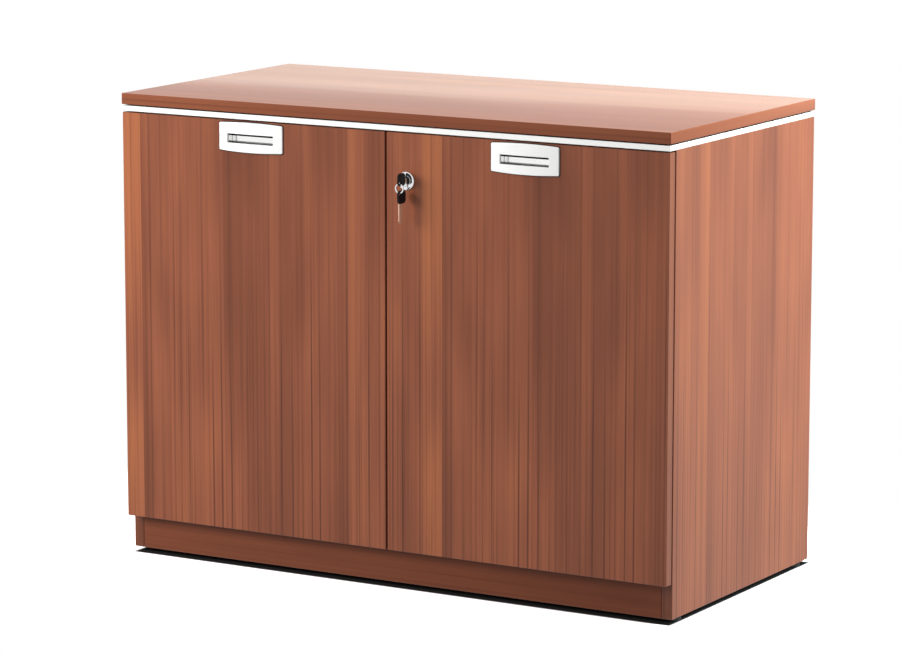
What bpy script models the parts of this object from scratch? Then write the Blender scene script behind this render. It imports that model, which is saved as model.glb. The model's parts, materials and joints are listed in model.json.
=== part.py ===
"""Two-door office credenza: carcass, doors, concealed hinges, recessed pulls, cam lock and keys.

Sizes are in millimetres and are turned into metres where a mesh is made.
The carcass frame has x to the right, y to the back and z up, with z = 0 on the floor
and y = 0 half way along the depth of the top panel.
"""
from math import cos, pi, radians, sin, sqrt

import bmesh
import bpy
from mathutils import Matrix, Vector

MM = 0.001

# Overall sizes
WIDTH = 1000.0
DEPTH = 500.0
HEIGHT = 760.0

# Boards
BOARD = 18.0
TOP_THICK = 18.0
BACK_THICK = 8.0
BOARD_EDGE = 0.8
FIT = 0.3
OVERSHOOT = 1.0

# Carcass
GLIDE_HEIGHT = 6.0
PLINTH_HEIGHT = 56.0
TRIM_HEIGHT = 10.0
TRIM_WIDTH = 40.0
TRIM_SETBACK = 1.5
SIDE_SETBACK = 1.0
BACK_INSET = 12.0
GROOVE_DEPTH = 8.0

# Doors
DOOR_THICK = 18.0
DOOR_SETBACK = 0.5
DOOR_TO_CARCASS = 2.0
DOOR_SIDE_REVEAL = 0.5
DOOR_TOP_REVEAL = 2.5
DOOR_MEETING_GAP = 3.0

# Shelf and its pins
SHELF_LEVEL = 400.0
SHELF_FRONT_GAP = 30.0
SHELF_SIDE_GAP = 1.0
PIN_RADIUS = 2.5
PIN_LENGTH = 18.0
PIN_SOCKET = 9.0
PIN_CHAMFER = 0.6
PIN_PITCH = 32.0
PIN_ROWS = 5
PIN_FROM_FRONT = 50.0
PIN_FROM_BACK = 60.0

# Glides
GLIDE_RADIUS = 8.0
GLIDE_STEM_RADIUS = 3.0
GLIDE_STEM = 10.0
GLIDE_CHAMFER = 1.0
GLIDE_FROM_ENDS = 30.0

# Recessed pulls
PULL_FROM_TOP = 26.3
PLATE_LENGTH = 119.5
PLATE_END_HEIGHT = 44.0
PLATE_BOW = 2.0
PLATE_END_THICK = 1.6
PLATE_CROWN = 3.9
PLATE_EDGE = 0.9
SLOT_LENGTH = 86.0
SLOT_HEIGHT = 15.0
SLOT_DROP = 2.4
SLOT_CORNER = 2.0
CUP_UNDERCUT = 2.5
CUP_WALL = 1.4
CUP_DEPTH = 12.4

# Concealed hinges, measured from the door's outer front corner
HINGE_FROM_END = 100.0
HINGE_CUP_FROM_EDGE = 22.5
HINGE_CUP_RADIUS = 17.2
HINGE_CUP_WALL = 1.2
HINGE_CUP_DEPTH = 11.5
HINGE_RIM = 1.8
HINGE_FLANGE_THICK = 1.0
HINGE_FLANGE_LENGTH = 56.0
HINGE_FLANGE_WIDTH = 19.0
HINGE_FLANGE_CORNER = 5.0
ARM_WEB = 1.5
ARM_CHEEK = 1.2
ARM_HEIGHT = 14.4
ARM_DEPTH = 9.0
ARM_FROM_SIDE = 3.5
ARM_NOSE = 11.0
ARM_LENGTH = 81.0
MOUNT_LENGTH = 36.0
MOUNT_HEIGHT = 48.0
MOUNT_FROM_NOSE = 34.0
LINK_PIVOT_DEPTH = 15.0
LINK_PIN_RADIUS = 1.5
LINK_BOSS_RADIUS = 3.0
LINK_THICK = 3.0
LINK_LENGTH = 41.0

# Cam lock
LOCK_FROM_MIDDLE = 37.6
LOCK_FROM_TOP = 74.7
ROSETTE_RADIUS = 14.6
ROSETTE_THICK = 2.4
ROSETTE_RIM = 1.6
ROSETTE_EDGE = 0.6
HOUSING_RADIUS = 8.5
PLUG_RADIUS = 6.0
NUT_ACROSS_FLATS = 23.0
NUT_THICK = 4.0
TAIL_RADIUS = 4.0
CAM_THICK = 2.0
CAM_LENGTH = 52.0
CAM_WIDTH = 14.0
SCREW_HEAD_RADIUS = 5.0
SCREW_HEAD_THICK = 2.5
SCREW_CHAMFER = 0.7
STRIKE_THICK = 1.5
STRIKE_WIDTH = 24.0
STRIKE_HEIGHT = 44.0
STRIKE_FROM_EDGE = 1.0

# Keys
KEY_THICK = 2.0
KEY_BLADE_WIDTH = 8.0
KEY_BLADE_LENGTH = 30.0
KEY_NECK = 2.3
KEY_INTO_TAIL = 1.7
BOW_THICK = 3.4
BOW_LENGTH = 20.5
BOW_WIDTH = 20.0
BOW_LIFT = 3.5
BOW_CORNER = 6.0
BOW_HOLE_RADIUS = 2.6
BOW_HOLE_INSET = 4.6
RING_RADIUS = 6.9
RING_WIRE_RADIUS = 1.0
RING_PLAY = 0.5
SPARE_TWIST = 4.0

# Bolt on the left door
BOLT_FROM_MIDDLE = 45.0
BOLT_TRAVEL = 12.0
BOLT_BODY_WIDTH = 20.0
BOLT_BODY_HEIGHT = 44.0
BOLT_BODY_DEPTH = 13.0
BOLT_BASE = 5.0
BOLT_BAR_WIDTH = 8.0
BOLT_BAR_THICK = 5.0
BOLT_BAR_LENGTH = 56.0
BOLT_KNOB = 9.0
BOLT_KNOB_HEIGHT = 11.0
BOLT_KNOB_THICK = 4.0
BOLT_NECK_WIDTH = 4.0
BOLT_TIP_GAP = 3.0
KEEPER_THICK = 1.5
KEEPER_SIZE = 24.0
KEEPER_CORNER = 2.0

# Bumpers between the doors and the carcass
BUMPER_RADIUS = 4.0
BUMPER_FROM_MIDDLE = 14.0
BUMPER_CHAMFER = 0.8

# Levels and planes worked out from the sizes above
TOP_LOW = HEIGHT - TOP_THICK
TRIM_LOW = TOP_LOW - TRIM_HEIGHT
SUB_TOP_LOW = TRIM_LOW - BOARD
BOTTOM_LOW = GLIDE_HEIGHT + PLINTH_HEIGHT
BOTTOM_HIGH = BOTTOM_LOW + BOARD
SIDE_OUT = WIDTH / 2 - SIDE_SETBACK
SIDE_IN = SIDE_OUT - BOARD
DOOR_OUT = SIDE_OUT - DOOR_SIDE_REVEAL
DOOR_IN = DOOR_MEETING_GAP / 2
DOOR_LOW = BOTTOM_LOW
DOOR_HIGH = TRIM_LOW - DOOR_TOP_REVEAL
PULL_LEVEL = DOOR_HIGH - PULL_FROM_TOP
LOCK_LEVEL = DOOR_HIGH - LOCK_FROM_TOP
DOOR_FRONT = -DEPTH / 2 + DOOR_SETBACK
DOOR_BACK = DOOR_FRONT + DOOR_THICK
CARCASS_FRONT = DOOR_BACK + DOOR_TO_CARCASS
CARCASS_REAR = DEPTH / 2 - SIDE_SETBACK
BACK_HIGH = CARCASS_REAR - BACK_INSET
BACK_LOW = BACK_HIGH - BACK_THICK
BOARD_REAR = BACK_LOW - 2 * FIT
ROSETTE_FRONT = DOOR_FRONT - FIT - ROSETTE_THICK
BOW_NEAR = ROSETTE_FRONT - KEY_NECK
BOW_FAR = BOW_NEAR - BOW_LENGTH
RING_PLANE = BOW_FAR + BOW_HOLE_INSET
RING_DROP = BOW_HOLE_RADIUS - RING_WIRE_RADIUS - RING_PLAY
BOW_HOLE_LEVEL = BOW_LIFT - BOW_WIDTH / 2 + BOW_HOLE_INSET
SPARE_TURN = radians(SPARE_TWIST)
SPARE_FRONT = RING_PLANE - BOW_HOLE_INSET * cos(SPARE_TURN) - BOW_THICK / 2 * sin(SPARE_TURN)
# The overall box reaches from the spare key's head to the back edge of the top
FRAME_SHIFT = -(SPARE_FRONT + DEPTH / 2) / 2

ROUND = 32
SMALL_ROUND = 16
SHARP = radians(35)
LEFT = -1
RIGHT = 1
SIDES = {LEFT: "left", RIGHT: "right"}

places = {}
finishes = {}


def finish(name, colour, roughness, metallic=0.0):
    """A plain material with a colour in linear values."""
    mat = bpy.data.materials.new(name)
    mat.use_nodes = True
    shader = mat.node_tree.nodes["Principled BSDF"]
    shader.inputs["Base Color"].default_value = (*colour, 1.0)
    shader.inputs["Roughness"].default_value = roughness
    shader.inputs["Metallic"].default_value = metallic
    finishes[name] = mat


def empty(name, at, parent=None):
    """An empty at a point of the carcass frame, to carry the pieces of one body."""
    obj = bpy.data.objects.new(name, None)
    bpy.context.scene.collection.objects.link(obj)
    places[name] = Vector(at)
    if parent:
        obj.parent = parent
        obj.location = (places[name] - places[parent.name]) * MM
    else:
        obj.location = (0, FRAME_SHIFT * MM, 0)
    return obj


def add_object(name, bm, at, parent, mat, smooth=False):
    """Turns a millimetre bmesh into an object whose origin is at a point of the carcass frame."""
    bmesh.ops.recalc_face_normals(bm, faces=bm.faces)
    bmesh.ops.scale(bm, vec=(MM, MM, MM), verts=bm.verts)
    mesh = bpy.data.meshes.new(name)
    bm.to_mesh(mesh)
    bm.free()
    if smooth:
        mesh.shade_smooth()
        mesh.set_sharp_from_angle(angle=SHARP)
    if mat:
        mesh.materials.append(finishes[mat])
    obj = bpy.data.objects.new(name, mesh)
    bpy.context.scene.collection.objects.link(obj)
    obj.parent = parent
    obj.location = (Vector(at) - places[parent.name]) * MM
    return obj


def boolean(target, bm, at, operation="DIFFERENCE"):
    """Cuts a shape out of an object, or joins it on, with the shape kept as a hidden tool."""
    tool = add_object(f"{target.name}_tool_{len(target.modifiers)}", bm, at, target.parent, None)
    tool.hide_render = True
    tool.display_type = "WIRE"
    mod = target.modifiers.new(operation.title(), "BOOLEAN")
    mod.operation = operation
    mod.object = tool


def box(low, high):
    """A box between two corners."""
    bm = bmesh.new()
    size = Vector(high) - Vector(low)
    middle = (Vector(high) + Vector(low)) / 2
    bmesh.ops.create_cube(bm, size=1.0, matrix=Matrix.Translation(middle) @ Matrix.Diagonal((*size, 1.0)))
    return bm


def prism(outline, low, high, axis):
    """An outline in the plane square to an axis, carried along that axis from low to high."""
    order = {"X": (2, 0, 1), "Y": (0, 2, 1), "Z": (0, 1, 2)}[axis]
    bm = bmesh.new()
    corners = [(a, b, low) for a, b in outline]
    face = bm.faces.new([bm.verts.new([p[i] for i in order]) for p in corners])
    moved = bmesh.ops.extrude_face_region(bm, geom=[face])["geom"]
    step = [(0, 0, high - low)[i] for i in order]
    bmesh.ops.translate(bm, vec=step, verts=[v for v in moved if isinstance(v, bmesh.types.BMVert)])
    return bm


def turned(profile, axis="Z", segments=ROUND, closed=False):
    """A profile of (radius, height) points turned about an axis; a closed profile makes a ring."""
    bm = bmesh.new()
    rings = []
    for radius, height in profile:
        if radius == 0:
            rings.append([bm.verts.new((0, 0, height))])
            continue
        turns = [2 * pi * i / segments for i in range(segments)]
        rings.append([bm.verts.new((radius * cos(a), radius * sin(a), height)) for a in turns])
    pairs = list(zip(rings, rings[1:]))
    if closed:
        pairs.append((rings[-1], rings[0]))
    for first, second in pairs:
        for i in range(segments):
            j = (i + 1) % segments
            loop = [first[i % len(first)], first[j % len(first)]]
            loop += [second[j % len(second)], second[i % len(second)]]
            bm.faces.new(list(dict.fromkeys(loop)))
    turn = {"X": Matrix.Rotation(pi / 2, 3, "Y"), "Y": Matrix.Rotation(-pi / 2, 3, "X"), "Z": Matrix()}[axis]
    bmesh.ops.transform(bm, matrix=turn.to_4x4(), verts=bm.verts)
    return bm


def rod(radius, low, high, axis="Z", segments=SMALL_ROUND):
    """A plain round bar along an axis."""
    return turned([(0, low), (radius, low), (radius, high), (0, high)], axis, segments)


def rounded_outline(width, height, corner, steps=4):
    """A rectangle about the origin with round corners."""
    outline = []
    for quarter, (sx, sy) in enumerate([(1, 1), (-1, 1), (-1, -1), (1, -1)]):
        for i in range(steps + 1):
            a = (quarter + i / steps) * pi / 2
            x = sx * (width / 2 - corner) + corner * cos(a)
            y = sy * (height / 2 - corner) + corner * sin(a)
            outline.append((x, y))
    return outline


def merged(*shapes):
    """Several separate shapes in one bmesh, for a tool that cuts in many places."""
    out = bmesh.new()
    for bm in shapes:
        mesh = bpy.data.meshes.new("shape")
        bm.to_mesh(mesh)
        bm.free()
        out.from_mesh(mesh)
        bpy.data.meshes.remove(mesh)
    return out


def moved(bm, x=0.0, y=0.0, z=0.0):
    """Shifts a shape before it becomes an object."""
    bmesh.ops.translate(bm, vec=(x, y, z), verts=bm.verts)
    return bm


def soften(obj, width=BOARD_EDGE):
    """A small bevel on a board's edges."""
    mod = obj.modifiers.new("Edge", "BEVEL")
    mod.width = width * MM
    mod.segments = 1
    mod.limit_method = "ANGLE"


def board(name, low, high, parent, mat="wood_print"):
    """A flat board between two corners, with softened edges and its origin at its middle."""
    middle = (Vector(low) + Vector(high)) / 2
    obj = add_object(name, box(Vector(low) - middle, Vector(high) - middle), middle, parent, mat)
    soften(obj)
    return obj


def build_carcass(root):
    """Top, sub-top, bottom, back and plinth boards between the two sides."""
    inner = SIDE_IN - FIT
    half = WIDTH / 2
    board("top_panel", (-half, -DEPTH / 2, TOP_LOW), (half, DEPTH / 2, HEIGHT), root)
    board("bottom_panel", (-inner, CARCASS_FRONT, BOTTOM_LOW), (inner, BOARD_REAR, BOTTOM_HIGH), root)
    board("plinth_front", (-inner, CARCASS_FRONT, GLIDE_HEIGHT),
          (inner, CARCASS_FRONT + BOARD, BOTTOM_LOW - FIT), root)
    board("plinth_back", (-inner, BOARD_REAR - BOARD, GLIDE_HEIGHT),
          (inner, BOARD_REAR, BOTTOM_LOW - FIT), root)
    back_half = SIDE_IN + GROOVE_DEPTH - FIT
    board("back_panel", (-back_half, BACK_LOW, BOTTOM_LOW),
          (back_half, BACK_HIGH, TRIM_LOW - FIT), root, "back_board")
    sub_top = board("sub_top", (-inner, CARCASS_FRONT, SUB_TOP_LOW),
                    (inner, BOARD_REAR, TRIM_LOW - FIT), root)
    pocket = box((-BOLT_BAR_WIDTH / 2 - 2 * FIT, -BOLT_BAR_THICK / 2 - 2 * FIT, -KEEPER_THICK),
                 (BOLT_BAR_WIDTH / 2 + 2 * FIT, BOLT_BAR_THICK / 2 + 2 * FIT, BOLT_TRAVEL))
    boolean(sub_top, pocket, (-BOLT_FROM_MIDDLE, bolt_plane(), SUB_TOP_LOW))


def build_side(side, root):
    """A side panel with a groove for the back, sockets for shelf pins and bores for glides."""
    front, rear = CARCASS_FRONT, CARCASS_REAR
    groove_low, groove_high = BACK_LOW - FIT, BACK_HIGH + FIT
    inner, deep = SIDE_IN, SIDE_IN + GROOVE_DEPTH
    outline = [(SIDE_OUT, front), (SIDE_OUT, rear), (inner, rear), (inner, groove_high),
               (deep, groove_high), (deep, groove_low), (inner, groove_low), (inner, front)]
    shape = prism([(side * x, y) for x, y in outline], GLIDE_HEIGHT, TRIM_LOW - FIT, "Z")
    middle = Vector((side * (SIDE_IN + BOARD / 2), 0, (GLIDE_HEIGHT + TRIM_LOW) / 2))
    obj = add_object(f"side_panel_{SIDES[side]}", moved(shape, *-middle), middle, root, "wood_print")
    soften(obj)
    sockets = [moved(rod(PIN_RADIUS + FIT, -OVERSHOOT, PIN_SOCKET, "X"), y=y, z=pin_level() + i * PIN_PITCH)
               for y in pin_rows() for i in range(-(PIN_ROWS // 2), PIN_ROWS // 2 + 1)]
    cutter = merged(*sockets)
    if side == LEFT:
        bmesh.ops.scale(cutter, vec=(-1, 1, 1), verts=cutter.verts)
    boolean(obj, cutter, (side * SIDE_IN, 0, 0))
    bores = [moved(rod(GLIDE_STEM_RADIUS + FIT, -OVERSHOOT, GLIDE_STEM + FIT), y=y) for y in glide_rows()]
    boolean(obj, merged(*bores), (middle.x, 0, GLIDE_HEIGHT))


def pin_level():
    """Height of the shelf pins in use, which the shelf lies on."""
    return SHELF_LEVEL - BOARD / 2 - FIT - PIN_RADIUS


def pin_rows():
    """Front and back rows of shelf pins."""
    return (CARCASS_FRONT + PIN_FROM_FRONT, BOARD_REAR - PIN_FROM_BACK)


def glide_rows():
    """Front and back glides along a side panel."""
    return (CARCASS_FRONT + GLIDE_FROM_ENDS, CARCASS_REAR - GLIDE_FROM_ENDS)


def build_trim(root):
    """The white band: four strips mitred at the corners, between the carcass and the top."""
    out_x = WIDTH / 2 - TRIM_SETBACK
    out_y = DEPTH / 2 - TRIM_SETBACK
    low, high = TRIM_LOW, TOP_LOW - FIT
    strips = (("trim_front", out_x, out_y, 0), ("trim_back", out_x, out_y, pi),
              ("trim_right", out_y, out_x, pi / 2), ("trim_left", out_y, out_x, -pi / 2))
    for name, half, reach, turn in strips:
        long_half = half - FIT
        short_half = long_half - TRIM_WIDTH
        strip = prism([(-long_half, 0), (long_half, 0), (short_half, TRIM_WIDTH), (-short_half, TRIM_WIDTH)],
                      -(high - low) / 2, (high - low) / 2, "Z")
        spin = Matrix.Rotation(turn, 3, "Z")
        bmesh.ops.rotate(strip, matrix=spin, verts=strip.verts)
        at = spin @ Vector((0, -reach, 0))
        add_object(name, strip, (at.x, at.y, (low + high) / 2), root, "white_plastic")


def build_shelf(root):
    """The adjustable shelf and the four pins under it."""
    half = SIDE_IN - SHELF_SIDE_GAP
    board("shelf", (-half, CARCASS_FRONT + SHELF_FRONT_GAP, SHELF_LEVEL - BOARD / 2),
          (half, BOARD_REAR - SHELF_SIDE_GAP, SHELF_LEVEL + BOARD / 2), root)
    low = -PIN_SOCKET + 2 * FIT
    high = low + PIN_LENGTH
    tip = PIN_RADIUS - PIN_CHAMFER
    profile = [(0, low), (tip, low), (PIN_RADIUS, low + PIN_CHAMFER), (PIN_RADIUS, high - PIN_CHAMFER),
               (tip, high), (0, high)]
    for side, word in SIDES.items():
        for y, end in zip(pin_rows(), ("front", "back")):
            shape = turned(profile, "X", SMALL_ROUND)
            if side == RIGHT:
                bmesh.ops.rotate(shape, matrix=Matrix.Rotation(pi, 3, "Z"), verts=shape.verts)
            at = (side * SIDE_IN, y, pin_level())
            add_object(f"shelf_pin_{word}_{end}", shape, at, root, "bright_metal", True)


def build_glides(root):
    """Four knock-in glides, each a low foot with a stem in the side panel."""
    top = GLIDE_HEIGHT - FIT
    profile = [(0, 0), (GLIDE_RADIUS - GLIDE_CHAMFER, 0), (GLIDE_RADIUS, GLIDE_CHAMFER), (GLIDE_RADIUS, top),
               (GLIDE_STEM_RADIUS, top), (GLIDE_STEM_RADIUS, top + GLIDE_STEM), (0, top + GLIDE_STEM)]
    for side, word in SIDES.items():
        for y, end in zip(glide_rows(), ("front", "back")):
            x = side * (SIDE_IN + BOARD / 2)
            add_object(f"glide_{word}_{end}", turned(profile), (x, y, 0), root, "black_plastic", True)


def hinge_levels():
    """Heights of the lower and upper hinge of a door."""
    return {"lower": DOOR_LOW + HINGE_FROM_END, "upper": DOOR_HIGH - HINGE_FROM_END}


def door_centre(side):
    """The middle of a door along the width."""
    return side * (DOOR_OUT + DOOR_IN) / 2


def build_door(side, axle):
    """A door board with a pocket for its pull and bores for its hinge cups."""
    word = SIDES[side]
    ends = sorted((side * DOOR_OUT, side * DOOR_IN))
    door = board(f"door_{word}", (ends[0], DOOR_FRONT, DOOR_LOW), (ends[1], DOOR_BACK, DOOR_HIGH), axle)
    length, height = cup_size()
    pocket = box((-length / 2 - FIT, -OVERSHOOT, -height / 2 - FIT),
                 (length / 2 + FIT, CUP_DEPTH + FIT, height / 2 + FIT))
    boolean(door, pocket, (door_centre(side), DOOR_FRONT, slot_level()))
    bores = [moved(rod(HINGE_CUP_RADIUS + FIT, -HINGE_CUP_DEPTH - FIT, OVERSHOOT, "Y", ROUND), z=z)
             for z in hinge_levels().values()]
    boolean(door, merged(*bores), (side * (DOOR_OUT - HINGE_CUP_FROM_EDGE), DOOR_BACK, 0))
    if side == RIGHT:
        bore = rod(HOUSING_RADIUS + FIT, -OVERSHOOT, DOOR_THICK + OVERSHOOT, "Y", ROUND)
        boolean(door, bore, (LOCK_FROM_MIDDLE, DOOR_FRONT, LOCK_LEVEL))


def slot_level():
    """Height of the middle of the finger slot."""
    return PULL_LEVEL - SLOT_DROP


def cup_size():
    """Outer length and height of the cup behind the finger slot."""
    return SLOT_LENGTH + 2 * CUP_WALL, SLOT_HEIGHT + 2 * (CUP_UNDERCUT + CUP_WALL)


def build_pull(side, axle):
    """The crowned plate with its finger slot, and the cup that the fingers reach into."""
    word = SIDES[side]
    stations = 12
    bm = bmesh.new()
    rings = []
    for i in range(stations + 1):
        x = (i / stations - 0.5) * PLATE_LENGTH
        swell = 1 - (2 * x / PLATE_LENGTH) ** 2
        half = PLATE_END_HEIGHT / 2 + PLATE_BOW * swell
        front = -PLATE_END_THICK - PLATE_CROWN * swell
        section = [(0, -half), (0, half), (front + PLATE_EDGE, half), (front, half - PLATE_EDGE),
                   (front, PLATE_EDGE - half), (front + PLATE_EDGE, -half)]
        rings.append([bm.verts.new((x, y, z)) for y, z in section])
    for first, second in zip(rings, rings[1:]):
        for i in range(len(first)):
            j = (i + 1) % len(first)
            bm.faces.new((first[i], first[j], second[j], second[i]))
    bm.faces.new(rings[0])
    bm.faces.new(rings[-1])
    plate = add_object(f"handle_plate_{word}", bm, (door_centre(side), DOOR_FRONT - FIT, PULL_LEVEL), axle,
                       "white_plastic")
    deep = PLATE_END_THICK + PLATE_CROWN + OVERSHOOT
    slot = prism(rounded_outline(SLOT_LENGTH, SLOT_HEIGHT, SLOT_CORNER), -deep, OVERSHOOT, "Y")
    boolean(plate, slot, (door_centre(side), DOOR_FRONT - FIT, slot_level()))
    length, height = cup_size()
    block = box((-length / 2, 0, -height / 2), (length / 2, CUP_DEPTH, height / 2))
    cup_at = (door_centre(side), DOOR_FRONT, slot_level())
    cup = add_object(f"handle_cup_{word}", block, cup_at, axle, "bright_metal")
    hollow = box((-SLOT_LENGTH / 2, -OVERSHOOT, -height / 2 + CUP_WALL),
                 (SLOT_LENGTH / 2, CUP_DEPTH - CUP_WALL, height / 2 - CUP_WALL))
    boolean(cup, hollow, cup_at)


def hinge_point(side, inward, back):
    """A plan point given from the door's outer front corner."""
    return side * (DOOR_OUT - inward), DOOR_FRONT + back


def link_pivot():
    """Plan place of the link's pin, in the middle of the arm's channel."""
    inward = BOARD - DOOR_SIDE_REVEAL + ARM_FROM_SIDE + ARM_WEB + LINK_BOSS_RADIUS + 2 * FIT
    return inward, LINK_PIVOT_DEPTH


def build_hinge_cup(side, level, name, axle):
    """A pressed cup in the door's back, with a rim and a screw flange."""
    x, y = hinge_point(side, HINGE_CUP_FROM_EDGE, DOOR_THICK)
    high = FIT + HINGE_FLANGE_THICK
    rim = HINGE_CUP_RADIUS + HINGE_RIM
    shape = turned([(0, -HINGE_CUP_DEPTH), (HINGE_CUP_RADIUS, -HINGE_CUP_DEPTH), (HINGE_CUP_RADIUS, FIT),
                    (rim, FIT), (rim, high), (0, high)], "Y")
    cup = add_object(name, shape, (x, y, level), axle, "nickel", True)
    outline = rounded_outline(HINGE_FLANGE_WIDTH, HINGE_FLANGE_LENGTH, HINGE_FLANGE_CORNER)
    flange = prism(outline, FIT, high, "Y")
    boolean(cup, moved(flange, x=-side * HINGE_FLANGE_WIDTH / 3), (x, y, level), "UNION")
    bottom = HINGE_CUP_WALL - HINGE_CUP_DEPTH
    hollow = rod(HINGE_CUP_RADIUS - HINGE_CUP_WALL, bottom, high + OVERSHOOT, "Y", ROUND)
    boolean(cup, hollow, (x, y, level))


def build_hinge_arm(side, level, name, root):
    """A channel arm on a mounting plate, with the pin that the link turns on."""
    face = BOARD - DOOR_SIDE_REVEAL
    web_low = face + ARM_FROM_SIDE
    web_high = web_low + ARM_WEB
    lip = web_low + ARM_DEPTH
    half = ARM_HEIGHT / 2
    inside = half - ARM_CHEEK
    outline = [(web_low, -half), (lip, -half), (lip, -inside), (web_high, -inside),
               (web_high, inside), (lip, inside), (lip, half), (web_low, half)]
    corner_x, corner_y = hinge_point(side, 0, 0)
    shape = prism([(-side * u, z) for u, z in outline], ARM_NOSE, ARM_NOSE + ARM_LENGTH, "Y")
    arm = add_object(name, shape, (corner_x, corner_y, level), root, "nickel")
    start = ARM_NOSE + MOUNT_FROM_NOSE
    ends = sorted((-side * (face + FIT), -side * (web_low + ARM_WEB / 2)))
    plate = box((ends[0], start, -MOUNT_HEIGHT / 2), (ends[1], start + MOUNT_LENGTH, MOUNT_HEIGHT / 2))
    boolean(arm, plate, (corner_x, corner_y, level), "UNION")
    inward, back = link_pivot()
    pin = rod(LINK_PIN_RADIUS, -half + ARM_CHEEK / 2, half - ARM_CHEEK / 2)
    boolean(arm, moved(pin, x=-side * inward, y=back), (corner_x, corner_y, level), "UNION")


def build_hinge_link(side, level, name, axle):
    """A flat link with an eye on the arm's pin, folded back along the arm when the door is shut."""
    steps = 10
    half_thick = LINK_THICK / 2
    outline = [(LINK_BOSS_RADIUS * cos(a), LINK_BOSS_RADIUS * sin(a))
               for a in [radians(-240 + 300 * i / steps) for i in range(steps + 1)]]
    end = LINK_LENGTH - half_thick
    outline += [(half_thick * cos(a), end + half_thick * sin(a)) for a in [pi * i / 4 for i in range(5)]]
    half = ARM_HEIGHT / 2 - ARM_CHEEK - FIT
    inward, back = link_pivot()
    x, y = hinge_point(side, inward, back)
    link = add_object(name, prism(outline, -half, half, "Z"), (x, y, level), axle, "nickel")
    boolean(link, rod(LINK_PIN_RADIUS + FIT, -half - OVERSHOOT, half + OVERSHOOT), (x, y, level))


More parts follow.
